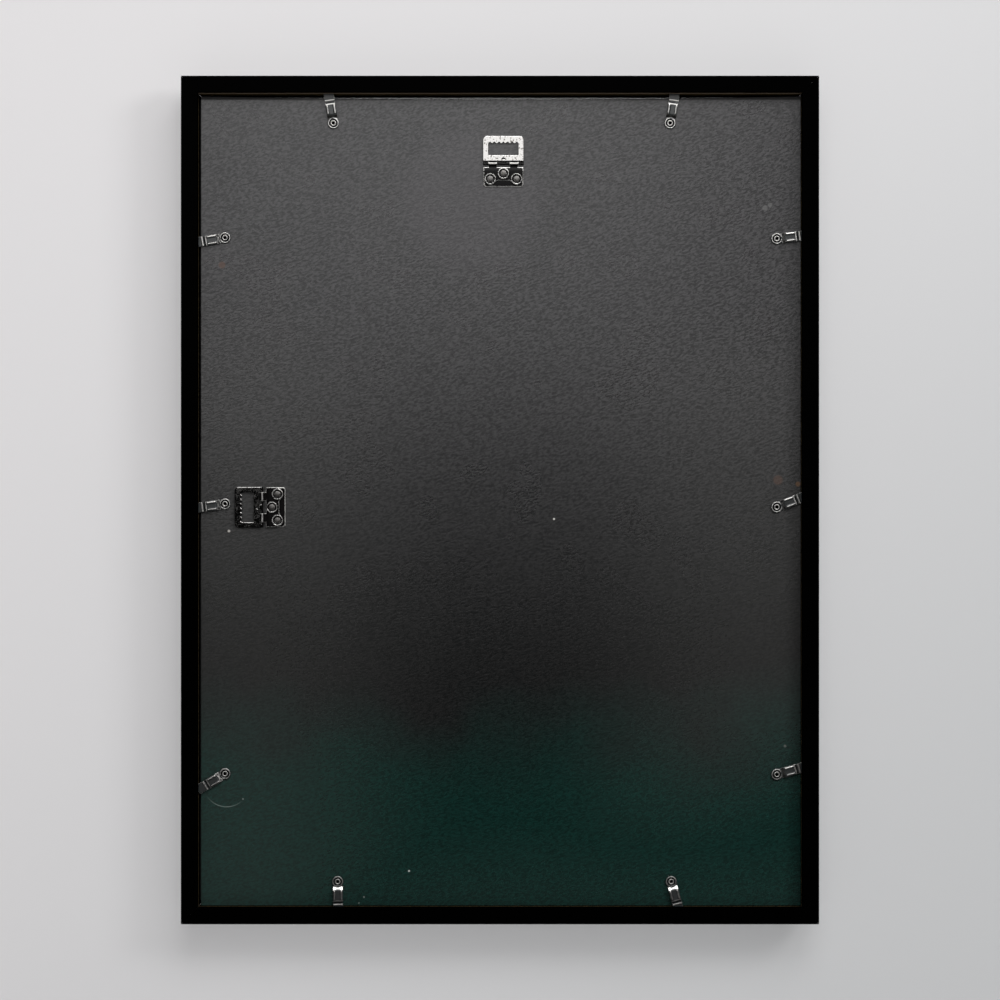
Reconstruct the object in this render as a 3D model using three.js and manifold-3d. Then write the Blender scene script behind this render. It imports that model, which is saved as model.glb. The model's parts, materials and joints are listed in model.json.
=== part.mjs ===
// Poster frame for an 18 by 24 inch sheet, hung by a sawtooth hanger, in millimetres.
// Everything is drawn as it is seen from the back: x to the right, y up, z out of the back,
// with z = 0 on the front face. The last lines turn it upright, with the nail point at the origin.
import * as THREE from "three";
import { mergeVertices } from "three/addons/utils/BufferGeometryUtils.js";
import Module from "manifold-3d";

const wasm = await Module();
wasm.setup();

// Sheet and opening
const sheetWidth = 457.2; // 18 inches
const sheetHeight = 609.6; // 24 inches
const sheetThickness = 0.3;
const openingSpareWidth = 1.0; // how much wider the opening is than the sheet
const openingSpareHeight = 8.0; // how much taller, so that the pack drops in from the back
const seat = 0.3; // the gap left between pieces that lie on each other

// Moulding
const railWidth = 12.7;
const railDepth = 19.0;
const lipReach = 6.0; // how far the front lip covers the glazing
const lipThickness = 4.5;
const frontEdgeRadius = 1.2;
const backEdgeRadius = 0.8;
const lipEdgeBevel = 0.6;
const wallEdgeBevel = 0.5;
const mitreGap = 0.2;
const grooveDepth = 6.5; // the saw cut that takes the tongues of the turn clips
const grooveHeight = 2.4;
const grooveRise = 0.8; // from the board up to the saw cut

// V-nails that draw the mitres together
const nailWing = 4.2;
const nailSheet = 0.7;
const nailHeight = 10.0;
const nailSink = 1.2; // below the back face, where the hole is filled and covered
const nailInset = 5.6; // from the outer edge of the rail to the V's point
const nailClearance = 0.3;

// Glazing and board
const glazingThickness = 1.5;
const boardThickness = 3.0;
const boardPlay = 2.0; // how much smaller the board is cut than the opening, each way
const boardBow = 2.2; // the dip of the board's top edge at mid width
const counterboreDepth = 0.8; // in the board's front face, for the spread tails
const holeClearance = 0.3;

// Turn clips, pressed from spring steel strip
const clipSheet = 0.6;
const clipWidth = 7.6;
const clipReach = 24.2; // from the eyelet to the tip of the tongue
const clipHeadRadius = 4.3;
const clipHeadRim = 0.45; // how far the head's ring stands up round its dished seat
const clipNeck = 3.9; // flat run beyond the eyelet
const clipRaiseEnd = 6.5; // where the raised bridge starts
const clipBridgeEnd = 14.2;
const clipTongueStart = 16.2;
const clipBridgeRise = 1.6; // of the bridge above the head
const clipTongueRise = 1.0; // of the tongue above the head
const clipBendRadius = 0.7;
const clipTipRadius = 1.2;
const clipRibRadius = 0.55;
const clipRibPlace = 2.4; // from the middle of the strip
const clipRibMargin = 0.9; // from each end of the bridge
const clipRunning = 0.18; // round the eyelet's barrel
const sideClipInset = 18.2; // from the board's edge to the eyelet
const topClipInset = 20.4;
const bottomClipInset = 18.2;

// Hollow eyelets that the clips turn on
const eyeletBore = 1.1;
const eyeletBarrel = 1.6;
const eyeletFlange = 2.3;
const eyeletFlangeHeight = 0.55;
const eyeletTail = 2.4;
const tailThickness = 0.5;

// Hinged sawtooth hangers: a strap folded round the axle bar of a pierced loop
const loopWidth = 30.9;
const loopReach = 20.4; // from the hinge axis to the loop's end
const loopSheet = 1.2;
const loopCornerRadius = 3.2;
const loopLegWidth = 4.05;
const loopBarEnd = 6.5; // from the axis to the window
const loopSlotEnd = 2.1; // from the axis to the solid bar, past the strap's curls
const toothPitch = 3.38;
const notchCount = 7;
const notchTop = 16.3; // from the axis to the tops of the notches
const toothDepth = 1.9;
const toothRound = 0.45;
const axleRadius = 0.7;
const loopEndTab = 3.0; // width of the arms that carry the axle's ends
const loopMidTab = 4.0;
const loopMarkRadius = 1.3; // the half-round piercing in the bar
const loopMarkPlace = 3.3;
const strapSheet = 0.6;
const strapSideStep = 0.25; // how far the strap stops short of the loop at each side
const strapReach = 17.6; // from the axis to the strap's end
const strapShoulder = 2.6; // from the axis to the full-width layers
const strapCornerRadius = 2.3;
const layerGap = 0.2;
const curlClearance = 0.3; // between the axle and the curl
const curlWidth = 6.8;
const curlPlace = 8.1; // from the strap's middle to the middle of each curl
const lobeRadius = 4.2;
const scallopEdge = 12.8; // from the axis to the upper layer's edge between its lobes
const scallopFlat = 4.0; // half the width of that shallow edge
const scallopBlend = 1.6; // the rounding from it into each lobe
const scallopSide = 11.9;
const rivetShank = 1.5;
const rivetHeadRadius = 2.7;
const rivetHeadHeight = 0.8;
const rivetTail = 2.3;
const dishRadius = 3.7;
const dishDepth = 0.25;
const rivetSideInset = 5.2; // from the strap's side to each lower rivet
const upperRivetPlace = 7.3; // from the axis
const lowerRivetPlace = 11.5;
const topHangerInset = 51.4; // from the board's top edge to the hinge axis
const topHangerShift = 1.9; // from the board's middle
const sideHangerInset = 46.7; // from the board's left edge to the hinge axis
const sideHangerShift = -4.8;

// Each clip's place along its edge from the board's middle, and its lean from square, in degrees.
// They are set and turned by hand, so no two are alike.
const clipPlaces = [
  { name: "clip_top_left", edge: "top", along: -127.5, lean: 9 },
  { name: "clip_top_right", edge: "top", along: 128.7, lean: -9 },
  { name: "clip_left_upper", edge: "left", along: 200.2, lean: 9.6 },
  { name: "clip_left_middle", edge: "left", along: -2.3, lean: 8 },
  { name: "clip_left_lower", edge: "left", along: -207.5, lean: 31 },
  { name: "clip_right_upper", edge: "right", along: 199.5, lean: 6.5 },
  { name: "clip_right_middle", edge: "right", along: -4.7, lean: 21 },
  { name: "clip_right_lower", edge: "right", along: -208.1, lean: 16 },
  { name: "clip_bottom_left", edge: "bottom", along: -124.2, lean: 1.5 },
  { name: "clip_bottom_right", edge: "bottom", along: 129.6, lean: 15 },
];

// Worked out from the sizes above
const openingWidth = sheetWidth + openingSpareWidth;
const openingHeight = sheetHeight + openingSpareHeight;
const outerWidth = openingWidth + 2 * railWidth;
const outerHeight = openingHeight + 2 * railWidth;
const openingFloor = -openingHeight / 2;
const boardWidth = openingWidth - boardPlay;
const boardHeight = openingHeight - boardPlay;
const boardX = (openingWidth - boardWidth) / 2 - seat; // pushed against the right-hand rail
const boardY = openingFloor + seat + boardHeight / 2; // and standing on the bottom rail
const glazingZ = lipThickness + seat;
const sheetZ = glazingZ + glazingThickness + seat;
const boardFront = sheetZ + sheetThickness + seat;
const boardBack = boardFront + boardThickness;
const grooveFloor = boardBack + grooveRise;
const strapWidth = loopWidth - 2 * strapSideStep;
const rivetSpread = strapWidth / 2 - rivetSideInset; // of the lower rivets from the middle
const curlInner = axleRadius + curlClearance;
const curlOuter = curlInner + strapSheet;
const axisRise = seat + curlOuter; // of the hinge axis above the board
const upperLayer = seat + strapSheet + layerGap; // underside of the strap's upper layer
const strapTop = upperLayer + strapSheet;
const loopLean = Math.asin((axisRise - loopSheet / 2 - seat) / loopReach);
const clipHole = eyeletBarrel + clipRunning;

// Finishes
const blackFoil = { color: 0x050505, roughness: 0.45, metalness: 0 };
const clearAcrylic = { color: 0xf4f7f7, roughness: 0.05, metalness: 0, transparent: true, opacity: 0.25 };
const plainPaper = { color: 0xf1efe9, roughness: 0.9, metalness: 0 };
const blackHardboard = { color: 0x343433, roughness: 0.5, metalness: 0 };
const nickelPlate = { color: 0xc9c7c0, roughness: 0.25, metalness: 1 };
const springSteel = { color: 0xb4b2ac, roughness: 0.3, metalness: 1 };
const bareSteel = { color: 0x8a8b8c, roughness: 0.4, metalness: 1 };

const degrees = Math.PI / 180;

// A closed three.js geometry as a solid that can be cut and joined.
function solid(geometry) {
  const bare = geometry.index ? geometry.toNonIndexed() : geometry.clone();
  bare.deleteAttribute("normal");
  bare.deleteAttribute("uv");
  const merged = mergeVertices(bare, 1e-4);
  return new wasm.Manifold(
    new wasm.Mesh({
      numProp: 3,
      vertProperties: merged.attributes.position.array,
      triVerts: new Uint32Array(merged.index.array),
    }),
  );
}

// A named mesh made from a solid.
function piece(name, body, finish) {
  const made = body.getMesh();
  const geometry = new THREE.BufferGeometry();
  geometry.setAttribute("position", new THREE.BufferAttribute(made.vertProperties, 3));
  geometry.setIndex(new THREE.BufferAttribute(made.triVerts, 1));
  geometry.computeVertexNormals();
  const mesh = new THREE.Mesh(geometry, new THREE.MeshStandardMaterial(finish));
  mesh.name = name;
  return mesh;
}

// An outline raised along z from low to high.
function prism(shape, low, high, curveSegments = 8) {
  const geometry = new THREE.ExtrudeGeometry(shape, {
    depth: high - low,
    bevelEnabled: false,
    curveSegments,
  });
  return solid(geometry.translate(0, 0, low));
}

// A side profile, drawn in y and z, carried across the width from low to high along x.
function crossPrism(shape, low, high, curveSegments = 8) {
  const geometry = new THREE.ExtrudeGeometry(shape, {
    depth: high - low,
    bevelEnabled: false,
    curveSegments,
  });
  geometry.translate(0, 0, low);
  const turn = new THREE.Matrix4().makeBasis(
    new THREE.Vector3(0, 1, 0),
    new THREE.Vector3(0, 0, 1),
    new THREE.Vector3(1, 0, 0),
  );
  return solid(geometry.applyMatrix4(turn));
}

// A profile of [radius, height] points turned round the z axis.
function turned(profile, segments) {
  const points = profile.map(([radius, height]) => new THREE.Vector2(radius, height));
  points.push(points[0].clone());
  return solid(new THREE.LatheGeometry(points, segments).rotateX(Math.PI / 2));
}

// A plain round bar along z, for holes.
function bar(radius, low, high) {
  const geometry = new THREE.CylinderGeometry(radius, radius, high - low, 12);
  geometry.rotateX(Math.PI / 2).translate(0, 0, (low + high) / 2);
  return solid(geometry);
}

// A strip of even thickness that follows bend points in y and z, with each bend rounded.
function bentStrip(bends, thickness, radius) {
  const middle = [bends[0]];
  for (let i = 1; i < bends.length - 1; i++) {
    const before = bends[i].clone().sub(bends[i - 1]).setLength(radius);
    const after = bends[i + 1].clone().sub(bends[i]).setLength(radius);
    const start = bends[i].clone().sub(before);
    const end = bends[i].clone().add(after);
    middle.push(...new THREE.QuadraticBezierCurve(start, bends[i], end).getPoints(2));
  }
  middle.push(bends[bends.length - 1]);
  const under = [];
  const over = [];
  middle.forEach((point, i) => {
    const back = middle[Math.max(i - 1, 0)];
    const ahead = middle[Math.min(i + 1, middle.length - 1)];
    const along = ahead.clone().sub(back).normalize();
    const out = new THREE.Vector2(-along.y, along.x).multiplyScalar(thickness / 2);
    under.push(point.clone().sub(out));
    over.unshift(point.clone().add(out));
  });
  return new THREE.Shape([...under, ...over]);
}

// The moulding's section: u from the outer edge inwards, z from the front face to the back.
function mouldingSection() {
  const lipEnd = railWidth + lipReach;
  const section = new THREE.Shape();
  section.moveTo(frontEdgeRadius, 0);
  section.lineTo(lipEnd - lipEdgeBevel, 0);
  section.lineTo(lipEnd, lipEdgeBevel);
  section.lineTo(lipEnd, lipThickness);
  section.lineTo(railWidth, lipThickness);
  section.lineTo(railWidth, grooveFloor);
  section.lineTo(railWidth - grooveDepth, grooveFloor);
  section.lineTo(railWidth - grooveDepth, grooveFloor + grooveHeight);
  section.lineTo(railWidth, grooveFloor + grooveHeight);
  section.lineTo(railWidth, railDepth - wallEdgeBevel);
  section.lineTo(railWidth - wallEdgeBevel, railDepth);
  section.lineTo(backEdgeRadius, railDepth);
  section.absarc(backEdgeRadius, railDepth - backEdgeRadius, backEdgeRadius, Math.PI / 2, Math.PI, false);
  section.absarc(frontEdgeRadius, frontEdgeRadius, frontEdgeRadius, Math.PI, 1.5 * Math.PI, false);
  return section;
}

// A V-nail's plan: two wings along the two rails that meet, with the point on the mitre.
function nailPlan(clearance) {
  const half = nailSheet / 2 + clearance;
  const wing = nailWing + clearance;
  const plan = new THREE.Shape();
  plan.moveTo(-half, -half);
  plan.lineTo(wing, -half);
  plan.lineTo(wing, half);
  plan.lineTo(half, half);
  plan.lineTo(half, wing);
  plan.lineTo(-half, wing);
  return plan;
}

const nailTop = railDepth - nailSink;

// The four corners, each with the turn that brings a V drawn towards +x +y into it.
const corners = [
  { name: "top_right", x: 1, y: 1, turn: 0 },
  { name: "top_left", x: -1, y: 1, turn: 90 },
  { name: "bottom_left", x: -1, y: -1, turn: 180 },
  { name: "bottom_right", x: 1, y: -1, turn: 270 },
];

function nailPlace(corner) {
  return [corner.x * (outerWidth / 2 - nailInset), corner.y * (outerHeight / 2 - nailInset), 0];
}

// All four pockets for the V-nails, a little larger than the nails.
function nailPockets() {
  const pockets = corners.map((corner) =>
    prism(nailPlan(nailClearance), nailTop - nailHeight - nailClearance, nailTop + nailClearance)
      .rotate([0, 0, corner.turn])
      .translate(nailPlace(corner)),
  );
  return pockets.reduce((all, pocket) => all.add(pocket));
}

// One rail: the section carried along its length, with each end run out to the mitre.
function rail(name, length, across, turn, pockets) {
  const geometry = new THREE.ExtrudeGeometry(mouldingSection(), {
    depth: 1,
    bevelEnabled: false,
    curveSegments: 3,
  });
  const place = geometry.attributes.position;
  for (let i = 0; i < place.count; i++) {
    const inwards = place.getX(i);
    const height = place.getY(i);
    const end = place.getZ(i) > 0.5 ? 1 : -1;
    const half = length / 2 - inwards - mitreGap * Math.SQRT1_2;
    place.setXYZ(i, -end * half, across / 2 - inwards, height);
  }
  geometry.rotateZ(turn);
  return piece(name, solid(geometry).subtract(pockets), blackFoil);
}

function rails() {
  const pockets = nailPockets();
  return [
    rail("rail_top", outerWidth, outerHeight, 0, pockets),
    rail("rail_left", outerHeight, outerWidth, Math.PI / 2, pockets),
    rail("rail_bottom", outerWidth, outerHeight, Math.PI, pockets),
    rail("rail_right", outerHeight, outerWidth, -Math.PI / 2, pockets),
  ];
}

function cornerNails() {
  return corners.map((corner) => {
    const nail = prism(nailPlan(0), nailTop - nailHeight, nailTop).rotate([0, 0, corner.turn]);
    return piece("v_nail_" + corner.name, nail.translate(nailPlace(corner)), bareSteel);
  });
}

// The glazing is cut like the board, so it stands on the bottom rail and reaches under every lip.
function glazing() {
  const geometry = new THREE.BoxGeometry(boardWidth, boardHeight, glazingThickness);
  geometry.translate(boardX, boardY, glazingZ + glazingThickness / 2);
  return piece("glazing", solid(geometry), clearAcrylic);
}

// The sheet lies in the middle of the opening, held by the board behind it.
function insertSheet() {
  const geometry = new THREE.BoxGeometry(sheetWidth, sheetHeight, sheetThickness);
  geometry.translate(0, 0, sheetZ + sheetThickness / 2);
  return piece("insert_sheet", solid(geometry), plainPaper);
}

// Where each clip's eyelet sits on the board, and which way its tongue points.
function clipPlace(clip) {
  const halfWidth = boardWidth / 2;
  const halfHeight = boardHeight / 2;
  const edges = {
    top: { x: clip.along, y: halfHeight - topClipInset, facing: 0 },
    left: { x: sideClipInset - halfWidth, y: clip.along, facing: 90 },
    bottom: { x: clip.along, y: bottomClipInset - halfHeight, facing: 180 },
    right: { x: halfWidth - sideClipInset, y: clip.along, facing: -90 },
  };
  const edge = edges[clip.edge];
  return { x: edge.x, y: edge.y, turn: (edge.facing + clip.lean) * degrees };
}

const hangers = [
  { name: "top", x: topHangerShift, y: boardHeight / 2 - topHangerInset, turn: 0 },
  { name: "side", x: sideHangerInset - boardWidth / 2, y: sideHangerShift, turn: Math.PI / 2 },
];

const rivetPlaces = [
  { name: "upper", x: 0, y: -upperRivetPlace },
  { name: "lower_left", x: -rivetSpread, y: -lowerRivetPlace },
  { name: "lower_right", x: rivetSpread, y: -lowerRivetPlace },
];

// The backing board: bowed along its top edge, and bored for every eyelet and rivet.
function board() {
  const halfWidth = boardWidth / 2;
  const halfHeight = boardHeight / 2;
  const outline = new THREE.Shape();
  outline.moveTo(-halfWidth, -halfHeight);
  outline.lineTo(halfWidth, -halfHeight);
  outline.lineTo(halfWidth, halfHeight);
  outline.quadraticCurveTo(0, halfHeight - 2 * boardBow, -halfWidth, halfHeight);
  let body = prism(outline, 0, boardThickness, 12);
  const bore = (x, y, shank, tail) => {
    const through = bar(shank + holeClearance, -1, boardThickness + 1);
    const sunk = bar(tail + holeClearance, -1, counterboreDepth);
    body = body.subtract(through.add(sunk).translate([x, y, 0]));
  };
  for (const clip of clipPlaces) {
    const place = clipPlace(clip);
    bore(place.x, place.y, eyeletBarrel, eyeletTail);
  }
  for (const hanger of hangers)
    for (const rivet of rivetPlaces) {
      const at = new THREE.Vector2(rivet.x, rivet.y).rotateAround(new THREE.Vector2(), hanger.turn);
      bore(hanger.x + at.x, hanger.y + at.y, rivetShank, rivetTail);
    }
  return piece("backing_board", body.translate([0, 0, boardFront - boardBack]), blackHardboard);
}

// Pieces on the board have z = 0 at its back face. A tail is spread in the board's counterbore.
const tailFloor = (boardThickness - counterboreDepth) * -1 - tailThickness - holeClearance / 2;

// A turn clip, pointing along +y from its eyelet.
function turnClip(name) {
  const head = seat + clipSheet / 2; // middle of the strip where it lies on the board
  const strip = bentStrip(
    [
      new THREE.Vector2(clipHole + clipSheet, head),
      new THREE.Vector2(clipNeck, head),
      new THREE.Vector2(clipRaiseEnd, head + clipBridgeRise),
      new THREE.Vector2(clipBridgeEnd, head + clipBridgeRise),
      new THREE.Vector2(clipTongueStart, head + clipTongueRise),
      new THREE.Vector2(clipReach, head + clipTongueRise),
    ],
    clipSheet,
    clipBendRadius,
  );
  const half = clipWidth / 2;
  const plan = new THREE.Shape();
  plan.moveTo(-half, 0);
  plan.lineTo(half, 0);
  plan.lineTo(half, clipReach - clipTipRadius);
  plan.absarc(half - clipTipRadius, clipReach - clipTipRadius, clipTipRadius, 0, Math.PI / 2, false);
  plan.lineTo(clipTipRadius - half, clipReach);
  plan.absarc(clipTipRadius - half, clipReach - clipTipRadius, clipTipRadius, Math.PI / 2, Math.PI, false);
  let body = crossPrism(strip, -half, half).intersect(prism(plan, 0, 10, 3));
  const top = seat + clipSheet;
  const ring = [
    [clipHole, seat],
    [clipHeadRadius, seat],
    [clipHeadRadius, top - clipSheet / 4],
    [clipHeadRadius - clipHeadRim, top + clipHeadRim],
    [clipHeadRadius - 2.5 * clipHeadRim, top + clipHeadRim],
    [clipHeadRadius - 3.7 * clipHeadRim, top],
    [clipHole, top],
  ];
  body = body.add(turned(ring, 20));
  const ribLength = clipBridgeEnd - clipRaiseEnd - 2 * clipRibMargin;
  for (const side of [-1, 1]) {
    const rib = new THREE.CapsuleGeometry(clipRibRadius, ribLength, 1, 6);
    rib.translate(side * clipRibPlace, (clipRaiseEnd + clipBridgeEnd) / 2, top + clipBridgeRise);
    body = body.add(solid(rib));
  }
  return piece(name, body, springSteel);
}

// A hollow eyelet: a rolled flange over the clip's seat, a barrel, and a tail spread below.
function eyelet(name) {
  const under = seat + clipSheet + clipRunning;
  const over = under + eyeletFlangeHeight;
  const roll = eyeletFlangeHeight / 2;
  const profile = [
    [eyeletBore, tailFloor],
    [eyeletTail, tailFloor],
    [eyeletTail, tailFloor + tailThickness],
    [eyeletBarrel, tailFloor + tailThickness],
    [eyeletBarrel, under],
    [eyeletFlange - roll / 2, under],
    [eyeletFlange, under + roll],
    [eyeletFlange - roll, over],
    [eyeletBore + roll, over],
    [eyeletBore, under + roll],
  ];
  return piece(name, turned(profile, 12), nickelPlate);
}

// The clip turns in its own group, on the eyelet that the board holds.
function clipSets() {
  return clipPlaces.map((clip) => {
    const place = clipPlace(clip);
    const set = new THREE.Group();
    set.position.set(place.x, place.y, 0);
    const arm = new THREE.Group();
    arm.rotation.z = place.turn;
    arm.add(turnClip(clip.name));
    set.add(arm, eyelet(clip.name.replace("clip", "eyelet")));
    return set;
  });
}

// The side view of one curl: the lower layer, round the axle, and back as the upper layer.
function curlProfile() {
  const upperStart = Math.asin((strapTop - axisRise) / curlOuter);
  const upperEnd = Math.asin((upperLayer - axisRise) / curlInner);
  const reach = -strapShoulder - strapSheet;
  const profile = new THREE.Shape();
  profile.moveTo(reach, seat);
  profile.lineTo(0, seat);
  profile.absarc(0, axisRise, curlOuter, -Math.PI / 2, Math.PI - upperStart, false);
  profile.lineTo(reach, strapTop);
  profile.lineTo(reach, upperLayer);
  profile.absarc(0, axisRise, curlInner, Math.PI - upperEnd, -Math.PI / 2, true);
  profile.lineTo(reach, seat + strapSheet);
  return profile;
}

// The strap's lower layer, with its two rounded corners.
function lowerLayerPlan() {
  const half = strapWidth / 2;
  const inner = half - strapCornerRadius;
  const cornerY = strapCornerRadius - strapReach;
  const plan = new THREE.Shape();
  plan.moveTo(half, -strapShoulder);
  plan.lineTo(-half, -strapShoulder);
  plan.absarc(-inner, cornerY, strapCornerRadius, Math.PI, 1.5 * Math.PI, false);
  plan.absarc(inner, cornerY, strapCornerRadius, 1.5 * Math.PI, 2 * Math.PI, false);
  return plan;
}

// The upper layer ends in a lobe round each lower rivet, with a shallow edge between them.
function upperLayerPlan() {
  const half = strapWidth / 2;
  const bottom = -scallopEdge;
  const plan = new THREE.Shape();
  plan.moveTo(half, -strapShoulder);
  plan.lineTo(-half, -strapShoulder);
  plan.lineTo(-half, -scallopSide);
  plan.absarc(-rivetSpread, -lowerRivetPlace, lobeRadius, 205 * degrees, 320 * degrees, false);
  plan.quadraticCurveTo(-scallopFlat - scallopBlend, bottom, -scallopFlat, bottom);
  plan.lineTo(scallopFlat, bottom);
  const lobeStart = new THREE.Vector2(lobeRadius, 0).rotateAround(new THREE.Vector2(), 220 * degrees);
  lobeStart.add(new THREE.Vector2(rivetSpread, -lowerRivetPlace));
  plan.quadraticCurveTo(scallopFlat + scallopBlend, bottom, lobeStart.x, lobeStart.y);
  plan.absarc(rivetSpread, -lowerRivetPlace, lobeRadius, 220 * degrees, 335 * degrees, false);
  plan.lineTo(half, -scallopSide);
  return plan;
}

// The folded strap: two layers, two curls round the axle, and a dished seat at each rivet.
function strap(name) {
  let body = prism(lowerLayerPlan(), seat, seat + strapSheet, 4);
  body = body.add(prism(upperLayerPlan(), upperLayer, strapTop, 8));
  for (const side of [-1, 1]) {
    const middle = side * curlPlace;
    body = body.add(crossPrism(curlProfile(), middle - curlWidth / 2, middle + curlWidth / 2, 8));
  }
  const dish = turned(
    [
      [0, strapTop - dishDepth],
      [dishRadius - 3 * dishDepth, strapTop - dishDepth],
      [dishRadius + dishDepth, strapTop + dishDepth / 3],
      [0, strapTop + dishDepth / 3],
    ],
    12,
  );
  for (const rivet of rivetPlaces) {
    const hole = bar(rivetShank + holeClearance, 0, strapTop + 1);
    body = body.subtract(hole.add(dish).translate([rivet.x, rivet.y, 0]));
  }
  return piece(name, body, nickelPlate);
}

// A rivet with a domed head in the strap's dish and a tail spread in the board's counterbore.
function rivet(name) {
  const under = strapTop - dishDepth + 0.1;
  const over = under + rivetHeadHeight;
  const profile = [
    [0, tailFloor],
    [rivetTail, tailFloor],
    [rivetTail, tailFloor + tailThickness],
    [rivetShank, tailFloor + tailThickness],
    [rivetShank, under],
    [rivetHeadRadius, under],
    [rivetHeadRadius, under + rivetHeadHeight * 0.35],
    [rivetHeadRadius * 0.8, over - rivetHeadHeight * 0.2],
    [rivetHeadRadius * 0.45, over],
    [0, over],
  ];
  return piece(name, turned(profile, 12), nickelPlate);
}

// The sawtooth edge from right to left: a row of notches with rounded tips.
function sawtoothEdge(path) {
  const windowHalf = loopWidth / 2 - loopLegWidth;
  const tip = notchTop - toothDepth;
  const slope = toothDepth / (toothPitch / 2);
  const first = ((notchCount - 1) / 2) * toothPitch;
  path.lineTo(windowHalf, notchTop - (windowHalf - first) * slope);
  for (let i = 0; i < notchCount; i++) {
    const x = first - i * toothPitch;
    path.lineTo(x + toothRound, notchTop - toothRound * slope);
    path.quadraticCurveTo(x, notchTop, x - toothRound, notchTop - toothRound * slope);
    if (i === notchCount - 1) break;
    const tooth = x - toothPitch / 2;
    path.lineTo(tooth + toothRound, tip + toothRound * slope);
    path.quadraticCurveTo(tooth, tip, tooth - toothRound, tip + toothRound * slope);
  }
  path.lineTo(-windowHalf, notchTop - (windowHalf - first) * slope);
}

// The loop's plan: a rounded plate with the sawtooth window, a mark and slots for the curls.
function loopPlan() {
  const half = loopWidth / 2;
  const inner = half - loopCornerRadius;
  const cornerY = loopReach - loopCornerRadius;
  const windowHalf = half - loopLegWidth;
  const plan = new THREE.Shape();
  plan.moveTo(-half, 0);
  plan.lineTo(loopEndTab - half, 0);
  plan.lineTo(loopEndTab - half, loopSlotEnd);
  plan.lineTo(-loopMidTab / 2, loopSlotEnd);
  plan.lineTo(-loopMidTab / 2, 0);
  plan.lineTo(loopMidTab / 2, 0);
  plan.lineTo(loopMidTab / 2, loopSlotEnd);
  plan.lineTo(half - loopEndTab, loopSlotEnd);
  plan.lineTo(half - loopEndTab, 0);
  plan.lineTo(half, 0);
  plan.absarc(inner, cornerY, loopCornerRadius, 0, Math.PI / 2, false);
  plan.absarc(-inner, cornerY, loopCornerRadius, Math.PI / 2, Math.PI, false);
  const window = new THREE.Path();
  window.moveTo(-windowHalf, loopBarEnd);
  window.lineTo(windowHalf, loopBarEnd);
  sawtoothEdge(window);
  const mark = new THREE.Path();
  mark.absarc(0, loopMarkPlace, loopMarkRadius, 0, Math.PI, false);
  plan.holes.push(window, mark);
  return plan;
}

// The pierced loop and the round axle bar along its lower edge, with the axis at the origin.
function loop(name) {
  const axle = new THREE.CylinderGeometry(axleRadius, axleRadius, loopWidth, 12).rotateZ(Math.PI / 2);
  const body = prism(loopPlan(), -loopSheet / 2, loopSheet / 2, 5).add(solid(axle));
  return piece(name, body, nickelPlate);
}

// A hanger on the board, with its loop leaning the little way that brings its end to the board.
function hanger(place) {
  const set = new THREE.Group();
  set.position.set(place.x, place.y, 0);
  set.rotation.z = place.turn;
  const swing = new THREE.Group();
  swing.position.set(0, 0, axisRise);
  swing.rotation.x = -loopLean;
  swing.add(loop("hanger_loop_" + place.name));
  set.add(strap("hanger_strap_" + place.name), swing);
  for (const at of rivetPlaces) {
    const fixed = rivet("rivet_" + place.name + "_" + at.name);
    fixed.position.set(at.x, at.y, 0);
    set.add(fixed);
  }
  return set;
}

// The board and all that is fixed to it, with the board's back face at z = 0.
const backing = new THREE.Group();
backing.position.set(boardX, boardY, boardBack);
backing.add(board(), ...clipSets(), ...hangers.map(hanger));

const flat = new THREE.Group();
flat.add(
  ...rails(),
  ...cornerNails(),
  glazing(),
  insertSheet(),
  backing,
);

// The nail bears in the middle notch of the top hanger's sawtooth edge.
const topHanger = hangers[0];
const nailPoint = new THREE.Vector3(
  boardX + topHanger.x,
  boardY + topHanger.y + notchTop * Math.cos(loopLean),
  boardBack + axisRise - notchTop * Math.sin(loopLean),
);
flat.position.copy(nailPoint).negate();

// Upright: the back view's x runs along -x, its y along +z, and its z along +y.
const posterFrame = new THREE.Group();
posterFrame.quaternion.setFromRotationMatrix(
  new THREE.Matrix4().makeBasis(
    new THREE.Vector3(-1, 0, 0),
    new THREE.Vector3(0, 0, 1),
    new THREE.Vector3(0, 1, 0),
  ),
);
posterFrame.add(flat);

export default posterFrame;
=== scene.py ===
# %% [markdown]
# The back of a poster frame, dressed for a portrait.
# The real object is four mitred black rails round a sunk black hardboard. Ten sprung turn clips hold the
# board, and two hinged sawtooth hangers are riveted to it. The big plain pieces, which are the rails, the
# board, the glazing and the paper, arrive at their true size, so they only need a finish. The small bright
# hardware is what the eye goes to, so it is cut and folded here again with finer curves than the frame has.

# %% Load the fixed frame
import json
import math
from functools import partial

import bpy
import numpy as np
from mathutils import Matrix, Vector
from mathutils.geometry import delaunay_2d_cdt
from mathutils.kdtree import KDTree


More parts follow.
